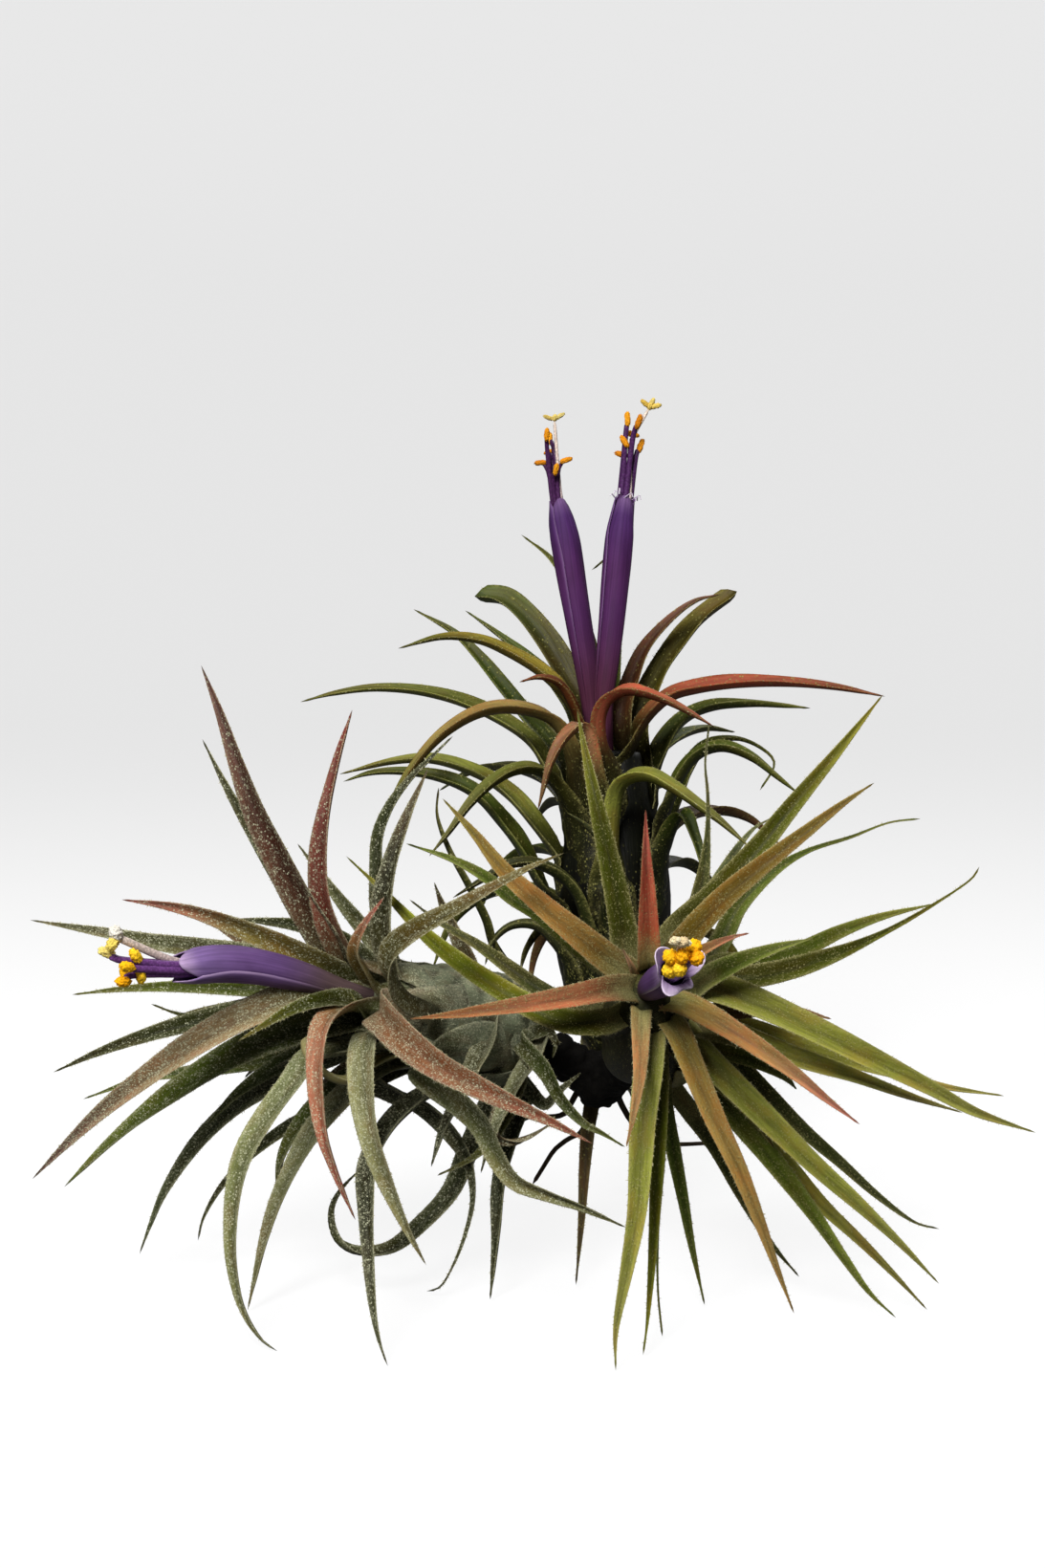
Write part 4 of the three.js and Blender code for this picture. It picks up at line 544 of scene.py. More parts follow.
def hidden_leaves(axis):
    """Leaves on the unseen side: golden-angle turns, older leaves lower and more arched."""
    name = axis["name"]
    draw = make_random(HIDDEN_SEED[name])
    direction = axis["direction"]
    right = unit(np.cross(direction, np.array(HIDDEN_FACING[name], dtype=float)))
    out = unit(np.cross(right, direction))
    low, high = HIDDEN_LENGTH[name]
    leaves = []
    for i in range(HIDDEN_COUNT[name]):
        turn = ((i * GOLDEN_TURN + 0.5) % 1) * 2 - 1
        angle = turn * HIDDEN_SPREAD[name]
        age = 1 - (i + 0.5) / HIDDEN_COUNT[name]
        start = axis["length"] * (0.9 - 0.62 * age)
        length = low + (high - low) * draw()
        droop = 0.35 + age + 0.25 * draw()
        radial = out * math.cos(angle) + right * math.sin(angle)
        here = axis["base"] + start * direction + axis["bulb"](start) * radial
        bend = HIDDEN_LEAN[name] + 0.3 * age
        points = []
        for _ in range(5):
            points.append(here.copy())
            step = length / 4.5
            here = here + step * (math.cos(bend) * direction + math.sin(bend) * radial)
            bend += droop * 0.44
        leaves.append((HIDDEN_TINTS[i % len(HIDDEN_TINTS)], 3.8 + draw(), points))
    return leaves


# %% [markdown]
# One flat strip is modelled with the grid tool. Every leaf, petal and filament is a copy of such
# a strip with its own mesh, wrapped round its own line. Named values on its vertices carry the
# colour and what the materials need to know.

# %% Strips
class Strip:
    """A flat grid of faces. Its copies are wrapped round lines, row by row."""

    def __init__(self, name, across, along):
        bpy.ops.object.select_all(action="DESELECT")
        bpy.ops.mesh.primitive_grid_add(x_subdivisions=across, y_subdivisions=along, size=1)
        self.model = bpy.context.object
        self.model.name = name
        self.shape = (along + 1, across + 1)
        spots = np.empty(len(self.model.data.vertices) * 3)
        self.model.data.vertices.foreach_get("co", spots)
        spots = spots.reshape(-1, 3)
        self.columns = np.rint((spots[:, 0] + 0.5) * across).astype(int)
        self.rows = np.rint((spots[:, 1] + 0.5) * along).astype(int)

    def wrap(self, name, grid):
        """A copy whose vertices sit where grid[row, column] says, in millimetres."""
        piece = self.model.copy()
        piece.data = self.model.data.copy()
        piece.name = name
        bpy.context.collection.objects.link(piece)
        piece.data.vertices.foreach_set("co", (grid[self.rows, self.columns] * MM).ravel())
        return piece

    def note(self, piece, name, kind, key, values):
        """Keep values[row, column] on the vertices of a wrapped copy."""
        layer = piece.data.attributes.new(name, kind, "POINT")
        layer.data.foreach_set(key, values[self.rows, self.columns].astype(np.float32).ravel())

    def tint(self, piece, colour):
        colour = np.broadcast_to(colour, self.shape + (3,))
        solid = np.concatenate([colour, np.ones(self.shape + (1,))], axis=2)
        self.note(piece, "tint", "FLOAT_COLOR", "color", solid)

    def leaf_notes(self, piece, colour, frost, edge, where):
        """The colour, the share of scales, the nearness to the edge and the place on the leaf."""
        self.tint(piece, colour)
        for name, value in (("frost", frost), ("edge", edge)):
            self.note(piece, name, "FLOAT", "value", np.broadcast_to(value, self.shape))
        spots = np.stack([np.broadcast_to(part, self.shape) for part in where], axis=2)
        self.note(piece, "leafpos", "FLOAT_VECTOR", "vector", spots)


AROUND = 16
ALONG = 60
leaf_strip = Strip("leaf_strip", AROUND, ALONG)
print("strip vertices", len(leaf_strip.columns))


# %% [markdown]
# A leaf has a wide sheath that hugs the bulb, then a channelled blade that narrows to a long
# fine tip. Its colour runs from sheath to tip with painted shade and light on it, and each leaf
# gets a little of its own.

# %% Leaves as closed channelled blades
def leaf_frames(path, radial, axis, sheath_run):
    fractions = np.linspace(0, 1, ALONG + 1)
    places, ways, length = read_line(path, fractions)
    lean = (path[-1] - path[2]) + (path[len(path) // 2 + 1] - path[2])
    turn = FACE_TURN[axis["name"]]
    side = unit(np.cross((1 - turn) * axis["direction"] + turn * TOWARD, lean))
    hug = unit(np.cross(axis["direction"], radial))
    walked = fractions * length
    past = walked - sheath_run
    lateral = mix(hug, side, ease(-3, 10, past)[:, None])
    lateral -= (lateral * ways).sum(axis=1, keepdims=True) * ways
    lateral /= np.linalg.norm(lateral, axis=1, keepdims=True)
    inward = np.cross(ways, lateral)
    return places, ways, lateral, inward, past, length


def leaf_taper(s, number, name):
    """How wide the blade is along its length, as a share of its full width."""
    narrowing = (np.maximum(0, s - 0.12) / 0.88) ** 1.55
    taper = np.maximum(0, 1 - narrowing) ** 0.95
    if number in BLUNT_TIPS[name]:
        taper = (0.75 + 0.25 * taper) * (1 - ease(0.95, 1.02, s))
    if number in FINE_TIPS[name]:
        taper = taper * (1 - 0.6 * ease(0.4, 0.7, s))
    return taper


def leaf_grid(axis, number, width, path, radial, draw):
    name = axis["name"]
    run = float(np.linalg.norm(path[2] - path[1]) + np.linalg.norm(path[1] - path[0]))
    places, ways, lateral, inward, past, length = leaf_frames(path, radial, axis, run)
    s = np.clip((past + 3) / (length - run + 3), 0, 1)
    blade = 0.5 * width * leaf_taper(s, number, name)
    sheath = 0.5 * np.clip(SHEATH_SHARE[name] * width, 4.0, 10.5)
    swell = 1 - ease(*SHEATH_FADE[name], past)
    half = blade + (np.maximum(sheath, blade) - blade) * swell
    half *= 0.72 + 0.28 * ease(-run, -0.45 * run, past)
    half = np.maximum(half, LEAST_HALF_WIDTH) * (1 - ease(0.985, 1.0, s))
    fold = half * (0.42 + 0.5 * np.minimum(1, s / 0.6))
    hugging = half**2 / (2 * BULB_RADIUS[name])
    fold = mix(fold, hugging, swell)
    power = 1.15 + 0.85 * swell
    thick = LEAF_THICKNESS * (1 - 0.4 * s) * (1 - 0.4 * swell)
    thick = np.minimum(thick, 1.3 * half + 0.05)
    twist = (draw() - 0.5) * 0.6 * ease(0.25, 1, s)
    wave = 0.06 * np.sin(2 * math.pi * (draw() + s * (2 + 2 * draw()))) * (1 - swell)
    angle = 2 * math.pi * np.arange(AROUND + 1) / AROUND
    x = np.cos(angle)[None, :]
    lift = fold[:, None] * (np.abs(x) ** power[:, None] - 0.4)
    lift = lift + 0.5 * thick[:, None] * np.sin(angle)[None, :]
    lift = lift - 0.5 * swell[:, None] * (1 - x**2)
    lift = lift + (wave * half)[:, None] * x
    dimples = np.sin(2.0 * past + 4 * number)[:, None] * np.cos(2.4 * x + number)
    lift = lift + PUCKER[name] * swell[:, None] * dimples
    out = half[:, None] * x
    turned = lateral * np.cos(twist)[:, None] + inward * np.sin(twist)[:, None]
    raised = inward * np.cos(twist)[:, None] - lateral * np.sin(twist)[:, None]
    grid = places[:, None, :] + out[..., None] * turned[:, None, :]
    grid = grid + lift[..., None] * raised[:, None, :]
    spread = {"s": s, "past": past, "swell": swell, "x": x, "out": out, "angle": angle,
              "sideways": turned, "ways": ways, "dimples": dimples,
              "lit_side": math.sin(2.4 * number + 1)}
    return grid, spread


def leaf_colours(name, tint, spread, draw):
    low, middle, tip, frost = TINTS[tint]
    s = spread["s"][:, None, None]
    x = np.abs(spread["x"])[..., None]
    colour = mix(light(low), light(middle), ease(0.14, 0.48, s))
    colour = mix(colour, light(tip), ease(0.55, 0.95, s))
    bright = BRIGHTNESS[name] * (0.86 + 0.3 * draw())
    warm = 0.94 + 0.12 * draw()
    colour = colour * bright * np.array([warm, 1.0, 1.0])
    swell = spread["swell"][:, None, None]
    # The sheath tone mixed in here holds painted shade on the back bulb and painted light on the
    # left one.
    colour = mix(colour, light(SHEATH_TONE_AND_SHADE[name]), SHEATH_MIX[name] * swell)
    colour = colour * (1 - 0.5 * ease(0.95, 1.0, s))
    # Painted shade: each blade is darker toward its channel and lighter at its margins, as light
    # falls on the fold.
    colour = colour * (0.7 + 0.44 * x**1.3)
    painted_groove_shade = KEEL_SHADE * (1 - ease(0.0, 0.2, x)) * (1 - swell)
    # Painted light: one half of each blade is lighter and the other darker, as if lit from one
    # side.
    painted_side_light = SIDE_SHADE * spread["lit_side"] * (1 - swell) * spread["x"][..., None]
    colour = colour * (1 - painted_groove_shade) * (1 + painted_side_light)
    # Painted shade in the pits of the puckered sheaths.
    dents = ease(0.1, 0.9, -spread["dimples"])[..., None]
    colour = colour * (1 - DENT_SHADE[name] * swell * dents)
    # Painted shade on the sheaths, darkest at their overlapping edges.
    colour = colour * (1 - PAINTED_SHEATH_SHADE[name] * swell * np.minimum(1, x**1.4 + PAINTED_SHEATH_SHADE_START[name]))
    past = spread["past"][:, None, None]
    # Painted shade on the blade near the heart.
    colour = colour * (1 - PAINTED_BASE_SHADE[name] * (1 - swell) * (1 - ease(-2, 13, past)))
    throat = ease(-4, 1, past) * (1 - ease(4, 12, past)) * THROAT_FROST[name]
    colour = mix(colour, light(THROAT_TONE), THROAT_SHARE * throat)
    redness = min(1, max(0, middle[0] - middle[1]) / 45)
    line = RED_LINE * redness * ease(0.72, 0.97, x) * (1 - swell)
    colour = colour * (1 - line * np.array([0.45, 1.0, 1.0]))
    amount = frost * FROST_SHARE[name] * (0.8 + 0.4 * draw()) + SHEATH_FROST[name] * spread["swell"]
    amount = amount * (1 - 0.4 * ease(0.85, 1, spread["s"])) + throat[:, 0, 0]
    return colour, amount


def make_leaf(axis, number, tint, width, path, radial, draw):
    grid, spread = leaf_grid(axis, number, width, path, radial, draw)
    piece = leaf_strip.wrap(f"leaf_{number}", grid)
    colour, frost = leaf_colours(axis["name"], tint, spread, draw)
    upper = np.where(np.sin(spread["angle"]) >= 0, 0.0, 1.7)[None, :]
    where = (spread["out"], spread["past"][:, None], upper + 5.3 * number)
    leaf_strip.leaf_notes(piece, colour, frost[:, None], np.abs(spread["x"]), where)
    return piece, grid, spread, frost


# %% [markdown]
# The edges of every leaf carry a fringe of small pale scales that stand out from the margin.
# They are gathered as loose triangles while the leaves are made.

# %% Fringe scales
SCALE_SPACING = 0.2
SCALE_SIZE = 0.24
FRINGE_END = 0.97


class Scales:
    """Small triangles, kept until they become one mesh."""

    def __init__(self, seed):
        self.random = np.random.default_rng(seed)
        self.corners = []

    def add(self, roots, outs, ways):
        count = len(roots)
        length = SCALE_SIZE * self.random.uniform(0.5, 1.3, (count, 1))
        half = 0.2 * length * self.random.uniform(0.6, 1.4, (count, 1))
        lean = self.random.normal(0, 0.35, (count, 3))
        tips = roots + length * (0.75 * outs + 0.55 * ways + lean)
        self.corners.append(np.stack([roots - half * ways, roots + half * ways, tips], axis=1))

    def mesh_piece(self, name):
        corners = np.concatenate(self.corners).reshape(-1, 3) * MM
        mesh = bpy.data.meshes.new(name)
        faces = np.arange(len(corners)).reshape(-1, 3)
        mesh.from_pydata(corners, [], faces)
        piece = bpy.data.objects.new(name, mesh)
        bpy.context.collection.objects.link(piece)
        return piece


def fringe(scales, grid, spread, frost):
    """Scales along both edges of one leaf."""
    for column, sign in ((0, 1.0), (AROUND // 2, -1.0)):
        line = grid[:, column]
        steps = np.linalg.norm(np.diff(line, axis=0), axis=1)
        walked = np.concatenate([[0], np.cumsum(steps)])
        start = np.interp(0, spread["past"], walked)
        count = int((FRINGE_END * walked[-1] - start) / SCALE_SPACING)
        if count < 4:
            continue
        at = np.sort(scales.random.uniform(start, FRINGE_END * walked[-1], count))
        row = np.interp(at, walked, np.arange(len(walked)))
        low = np.floor(row).astype(int).clip(0, len(line) - 2)
        roots = mix(line[low], line[low + 1], (row - low)[:, None])
        keep = scales.random.uniform(0, 1, count) < 0.35 + 0.65 * frost[low]
        outs = sign * spread["sideways"][low]
        scales.add(roots[keep], outs[keep], spread["ways"][low][keep])


# %% [markdown]
# Under the sheaths lies the heart of the bulb, with shallow folds and dents. It is wrapped from a
# strip of its own.

# %% Bulb hearts
CORE_AROUND = 54
CORE_ALONG = 48
CORE_TOP = 0.93
CORE_FOLDS = 5
core_strip = Strip("core_strip", CORE_AROUND, CORE_ALONG)


def make_core(axis):
    name = axis["name"]
    direction = axis["direction"]
    right = unit(np.cross(direction, ACROSS) if abs(direction[0]) < 0.9
                 else np.cross(direction, UP))
    front = np.cross(right, direction)
    heights = np.linspace(0, CORE_TOP, CORE_ALONG + 1)[:, None] * axis["length"]
    angle = 2 * math.pi * np.arange(CORE_AROUND + 1) / CORE_AROUND
    turns = CORE_FOLDS * angle / (2 * math.pi) + 0.035 * heights
    fold = np.abs(np.sin(math.pi * turns)) ** 0.6
    dents = np.sin(1.3 * heights + 2 * np.sin(3 * angle)) * np.cos(5 * angle + 0.2 * heights)
    radius = axis["bulb"](heights) - 2.0 + fold + PUCKER[name] * dents
    radius[0] = 0
    radius[-1] = 0
    spoke = np.cos(angle)[:, None] * right + np.sin(angle)[:, None] * front
    grid = axis["base"] + heights[..., None] * direction + radius[..., None] * spoke
    piece = core_strip.wrap("core", grid)
    # Painted shade: the heart is darker on its side toward the viewer and in the creases between
    # its folds.
    away = ease(0.3, -0.4, spoke @ TOWARD)[:, None]
    tone = mix(light(CORE_NEAR_TONE_AND_SHADE[name]), light(CORE_BACK[name]), away) * (0.3 + 0.7 * fold[..., None])
    # Painted shade in the dents of the heart.
    tone = tone * (1 - DENT_SHADE[name] * ease(0.1, 0.8, -dents[..., None]))
    core_strip.leaf_notes(piece, tone, CORE_FROST[name] * fold, 0.0, (8 * angle, heights, 0.0))
    return piece


# %% [markdown]
# A finished piece is joined from its parts and smoothed, the solid that it replaces is hidden, and
# it rides on the one body of the plant.

# %% Join, merge and shade a finished piece
MERGE_DISTANCE = 2e-6


def select_only(pieces):
    bpy.ops.object.select_all(action="DESELECT")
    for piece in pieces:
        piece.select_set(True)
    bpy.context.view_layer.objects.active = pieces[0]


def apply_modifier(piece, kind, **settings):
    select_only([piece])
    bpy.ops.object.modifier_add(type=kind)
    modifier = piece.modifiers[-1]
    for key, value in settings.items():
        setattr(modifier, key, value)
    bpy.ops.object.modifier_apply(modifier=modifier.name)


def finish_piece(pieces, name, node, merge=True):
    select_only(pieces)
    if len(pieces) > 1:
        bpy.ops.object.join()
    whole = bpy.context.view_layer.objects.active
    whole.name = name
    whole.data.name = name
    if merge:
        bpy.ops.object.mode_set(mode="EDIT")
        bpy.ops.mesh.select_all(action="SELECT")
        bpy.ops.mesh.remove_doubles(threshold=MERGE_DISTANCE)
        bpy.ops.mesh.normals_make_consistent(inside=False)
        bpy.ops.object.mode_set(mode="OBJECT")
    bpy.ops.object.shade_smooth()
    if node:
        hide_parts(node)
    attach(whole, "root")
    return whole


# %% [markdown]
# Each rosette is its bulb's heart with all its leaves, the seen ones first.

# %% Grow the three rosettes
rosettes = {}
fringes = {}
for name in AXES:
    axis = rosette_axis(name)
    draw = make_random(HIDDEN_SEED[name] + 10)
    scales = Scales(HIDDEN_SEED[name])
    seen = [(tint, width, [place(p) for p in points]) for tint, width, points in LEAVES[name]]
    pieces = [make_core(axis)]
    for number, (tint, width, points) in enumerate(seen + hidden_leaves(axis)):
        path, radial = leaf_path(axis, points)
        piece, grid, spread, frost = make_leaf(axis, number, tint, width, path, radial, draw)
        pieces.append(piece)
        fringe(scales, grid, spread, frost)
    rosettes[name] = finish_piece(pieces, f"leaves_{name}", f"rosette_{name}")
    fringes[name] = finish_piece([scales.mesh_piece(f"fringe_{name}")], f"fringe_{name}", None,
                                 merge=False)
    print(name, "leaves", len(pieces) - 1, "faces", len(rosettes[name].data.polygons),
          "scales", len(fringes[name].data.polygons))

# %% [markdown]
# ## Flowers
#
# A flower is a tube of three petals rolled round each other. Each petal is a curved sheet with one
# edge outside its neighbour, given its thickness by a solidify modifier.

# %% Petals
PETAL_AROUND = 18
PETAL_ALONG = 44
PETAL_HALF_TURN = math.radians(82)
PETAL_DEPTH = 0.16
SHADES = {
    "deep": ((66, 31, 48), (65, 31, 71), (62, 34, 82), (116, 88, 126)),
    "pale": ((88, 70, 70), (94, 68, 114), (112, 88, 136), (172, 148, 176)),
    "open": ((52, 30, 52), (80, 54, 98), (160, 136, 172), (224, 210, 222)),
}
petal_strip = Strip("petal_strip", PETAL_AROUND, PETAL_ALONG)


def tube_sides(ways):
    """Two directions square to the middle of a line."""
    middle = ways[len(ways) // 2]
    side = np.array([0.0, 1.0, 0.0]) if abs(middle[0]) > 0.8 else ACROSS
    side = side - (side @ middle) * middle
    lateral = side - (ways @ side)[:, None] * ways
    lateral /= np.linalg.norm(lateral, axis=1, keepdims=True)
    return lateral, np.cross(ways, lateral)


def petal_grid(flower, number):
    points = [place(p) for p in flower["line"]]
    a = np.linspace(-1, 1, PETAL_AROUND + 1)[None, :]
    row = np.linspace(0, 1, PETAL_ALONG + 1)[:, None]
    s = row * (1 + flower["reach"] * (0.3 - np.abs(a) ** 2.2))
    flat = s.ravel()
    places, ways, length = read_line(points, np.clip(flat, 0, 1))
    places = places + ways * (np.maximum(0, flat - 1) * length)[:, None]
    lateral, other = tube_sides(ways)
    knots = np.array(flower["girth"])
    radius = np.interp(s, knots[:, 0], knots[:, 1])
    soft = np.interp(np.clip(s - 0.03, 0, 1), knots[:, 0], knots[:, 1])
    radius = 0.5 * (radius + soft) + 0.17 * a * ease(0.15, 0.4, s)
    opened = ease(0.87, 1.03, s) ** 1.5
    radius = radius + flower["flare"] * opened * (0.8 + 0.3 * np.cos(4 * a + number))
    half_turn = PETAL_HALF_TURN * (1 - 0.22 * ease(0.75, 1.0, s))
    angle = flower["turn"] + number * 2 * math.pi / 3 + a * half_turn + 0.35 * s
    ripple = 0.05 * np.sin(9 * a + 14 * s + number) * ease(0.3, 1, s)
    spoke = np.cos(angle).ravel()[:, None] * lateral + np.sin(angle).ravel()[:, None] * other
    grid = places + (radius + ripple).ravel()[:, None] * spoke
    return grid.reshape(PETAL_ALONG + 1, PETAL_AROUND + 1, 3), s, a


def petal_colours(flower, s, a):
    base, middle, top, edge = (light(c) for c in SHADES[flower["shade"]])
    s = s[..., None]
    colour = mix(mix(base, middle, ease(0.25, 0.6, s)), top, ease(0.7, 1.0, s))
    rim = np.maximum(ease(0.86, 1.0, np.abs(a))[..., None] * ease(0.3, 0.7, s),
                     ease(0.93, 1.02, s))
    return mix(colour, edge, 0.6 * rim)


def make_petals(flower):
    petals = []
    for number in range(3):
        grid, s, a = petal_grid(flower, number)
        petal = petal_strip.wrap("petal", grid)
        petal_strip.tint(petal, petal_colours(flower, s, a))
        apply_modifier(petal, "SOLIDIFY", thickness=PETAL_DEPTH * MM, offset=-1)
        petals.append(petal)
    return petals


# %% [markdown]
# Filaments and styles are flat threads. They leave the mouth in a tight bundle, in the order that
# their tips take round it, as in the solid frame.

# %% Threads
THREAD_AROUND = 8
THREAD_ALONG = 28
THREAD_START = 0.56
thread_strip = Strip("thread_strip", THREAD_AROUND, THREAD_ALONG)


def make_thread(points, wide, deep, start_colour, end_colour, narrowing=0.3, wobble=0.0, seed=0):
    """A closed thread of oval section along a smooth line, with its colour running along it."""
    fractions = np.linspace(0, 1, THREAD_ALONG + 1)
    places, ways, _ = read_line(points, fractions)
    lateral, other = tube_sides(ways)
    angle = 2 * math.pi * np.arange(THREAD_AROUND + 1) / THREAD_AROUND
    size = 1 - narrowing * fractions
    size[0] = 0
    size[-1] = 0
    if wobble:
        swing = np.random.default_rng(seed).normal(0, wobble, (6, 2))
        drift = np.stack([np.interp(fractions * 5, np.arange(6), swing[:, k]) for k in (0, 1)])
        calm = (ease(0, 0.15, fractions) * drift)[..., None]
        places = places + calm[0] * lateral + calm[1] * other
    spread = (np.cos(angle)[None, :, None] * wide * lateral[:, None]
              + np.sin(angle)[None, :, None] * deep * other[:, None])
    grid = places[:, None] + size[:, None, None] * spread
    piece = thread_strip.wrap("thread", grid)
    colour = mix(light(start_colour), light(end_colour), fractions[:, None, None])
    thread_strip.tint(piece, colour)
    return piece


def bundle(flower, anthers, stigma):
    """The order of the tips round the mouth, and where each thread passes it."""
    points = [place(p) for p in flower["line"]]
    places, ways, _ = read_line(points, [THREAD_START, 0.5 * (THREAD_START + 1), 1.0])
    lateral, other = tube_sides(ways)
    side, over = lateral[2], other[2]

    def bearing(tip):
        away = place(tip) - places[2]
        return math.atan2(away @ over, away @ side)

    start = bearing(stigma)
    order = sorted(range(6), key=lambda i: (bearing(anthers[i]) - start) % (2 * math.pi))
    ring = min(0.9, flower["girth"][-1][1] - 0.42)
    gates = []
    for k in range(7):
        angle = start + k * 2 * math.pi / 7
        spoke = ring * (math.cos(angle) * side + math.sin(angle) * over)
        gates.append([spot + spoke for spot in places])
    return order, gates, side, over, ways[2]


# %% [markdown]
# Anthers and stigma lobes are small lumps: a sphere stretched along its own axis and roughened by
# a cell pattern, so that the pollen shows as grains.

# %% Lumps
def paint(piece, colour):
    """One tint for the whole piece."""
    old = piece.data.attributes.get("tint")
    if old:
        piece.data.attributes.remove(old)
    layer = piece.data.attributes.new("tint", "FLOAT_COLOR", "POINT")
    solid = np.tile(np.concatenate([light(colour), [1.0]]), len(piece.data.vertices))
    layer.data.foreach_set("color", solid.astype(np.float32))


def make_lump(centre, axis, length, girth, colour, grain, seed, detail=3):
    bpy.ops.object.select_all(action="DESELECT")
    bpy.ops.mesh.primitive_ico_sphere_add(subdivisions=detail, radius=1)
    lump = bpy.context.object
    turn = Vector(axis).to_track_quat("Z", "Y").to_matrix()
    for vertex in lump.data.vertices:
        way = vertex.co.copy()
        near = noise.voronoi(way * 2.6 + Vector((seed, 0, 0)))[0][0]
        bump = 1 + grain * (0.55 - near)
        pinch = 1 - 0.18 * (1 - way.z**2)
        body = Vector((way.x * girth * pinch, way.y * girth * pinch, way.z * length))
        vertex.co = (Vector(centre) + turn @ (body * bump)) * MM
    paint(lump, colour)
    return lump


# %% [markdown]
# The anthers lie along, across or aslant on their filaments, and each stigma has a few lobes. The
# sizes and tones below go by flower. The second flower's style hides among its filaments.

# %% Stamens and pistil of one flower
ANTHER_LIES = [
    ["up", "up", "across", "across", "up", "across"],
    ["tilt", "up", "up", "up", "across", "across"],
    ["up", "up", "tilt", "across", "up", "across"],
    ["up", "up", "up", "up", "up", "up"],
]
ANTHER_SIZE = [(1.05, 0.52), (1.2, 0.58), (1.45, 0.95), (1.4, 1.32)]
THREAD_SIZE = [(0.58, 0.45), (0.68, 0.46), (0.85, 0.95), (0.8, 0.8)]
STYLE_SIZE = [(0.3, 0.26), (0.32, 0.28), (0.4, 0.68), (0.4, 0.4)]
THREAD_TONE = [(66, 32, 72), (70, 36, 80), (104, 62, 120), (132, 104, 150)]
BRANCH = [0.8, 0.8, 0.82, 0.5]
POLLEN = [(214, 136, 18), (222, 148, 24), (196, 118, 14)]
PALE_ANTHER = (2, 4)
PALE_POLLEN = (236, 214, 120)
STYLE_TONES = ((150, 120, 146), (214, 196, 180))
HIDDEN_STYLE = 1
FRILLED = 1
BRIGHT_POLLEN = [(255, 190, 18), (250, 174, 12), (255, 204, 40)]


def anther_axis(lie, way, across):
    if lie == "across":
        return unit(across + 0.15 * way)
    if lie == "tilt":
        return unit(way + 0.8 * across)
    return unit(way + 0.15 * across)


def make_stamens(index, flower, anthers, stigma):
    order, gates, side, over, way = bundle(flower, anthers, stigma)
    length, girth = ANTHER_SIZE[index]
    threads, lumps = [], []
    heading = unit(sum(place(spot) for spot in anthers) / 6 - place(flower["line"][-1]))
    for rank, i in enumerate(order):
        centre = place(anthers[i])
        gate = gates[rank + 1]
        run = BRANCH[index] * ((centre - gate[2]) @ heading)
        via = gate[2] + run * heading
        via = via + 0.3 * ((centre - via) - ((centre - via) @ heading) * heading)
        threads.append(make_thread(gate + [via, centre], *THREAD_SIZE[index],
                                   THREAD_TONE[index], THREAD_TONE[index], narrowing=0.4))
        away = unit(centre - gate[2])
        sideways = unit(side * (1 if (centre - gate[2]) @ side >= 0 else -1) + 0.2 * over)
        if abs(way[2]) < 0.6:
            sideways = unit(np.array([0.0, 0.0, 1.0]) - 0.2 * side)
        axis = anther_axis(ANTHER_LIES[index][i], away, sideways)
        tone = (BRIGHT_POLLEN if index > 1 else POLLEN)[i % 3]
        if (index, i) == PALE_ANTHER:
            tone = PALE_POLLEN
        lumps.append(make_lump(centre, axis, length, girth, tone, 0.45, 7 * i + index, detail=4))
    return threads, lumps


# Lobes of each stigma, as how far up and sideways they sit, how long and thick they are
STIGMA_LOBES = [
    [(0.3, 0.9, 0.95, 0.42), (0.2, -0.9, 0.9, 0.42), (0.1, 0.1, 0.6, 0.5)],
    [(0.3, 0.9, 0.95, 0.5), (0.35, -0.85, 0.9, 0.5), (0.8, 0.2, 0.7, 0.5), (0, 0, 0.6, 0.5)],
    [(0.3, 0.5, 1.25, 1.2), (0.1, -1.2, 1.1, 1.05), (-0.5, -0.3, 0.6, 0.6)],
    [(0.4, -0.7, 0.95, 0.8), (0.7, 0.4, 1.0, 0.85), (0.2, 1.0, 0.7, 0.6), (-0.2, -1.0, 0.7, 0.6),
     (0, 0.1, 0.9, 0.9), (1.2, -0.3, 0.6, 0.5)],
]
STIGMA_TONES = [
    [(206, 186, 112), (196, 170, 90), (214, 190, 104)],
    [(220, 190, 92), (206, 170, 70), (214, 190, 104)],
    [(228, 222, 208), (232, 206, 96), (224, 210, 160)],
    [(232, 214, 170), (222, 196, 150), (236, 222, 184)],
]


def make_pistil(index, flower, anthers, stigma):
    gates = bundle(flower, anthers, stigma)[1]
    top = place(stigma)
    bend = []
    if index == HIDDEN_STYLE:
        bundle_end = sum(place(spot) for spot in anthers) / 6
        bend = [mix(gates[0][2], bundle_end, share) for share in (0.5, 0.9)]
    style = make_thread(gates[0] + bend + [top], *STYLE_SIZE[index], *STYLE_TONES,
                        narrowing=0.1)
    away = unit(top - gates[0][2])
    wide = unit(np.cross(away, TOWARD))
    lobes = []
    for k, (up, across, length, girth) in enumerate(STIGMA_LOBES[index]):
        spot = top + up * away + across * wide
        lean = unit(across * wide + (0.3 + 0.5 * up) * away + 0.2 * TOWARD)
        lobes.append(make_lump(spot, lean, length, girth, STIGMA_TONES[index][k % 3], 0.5,
                               31 + 5 * k + index, detail=4))
    return style, lobes


# %% [markdown]
# One flower has a thin dry frill round its mouth, curled outward in small loops.

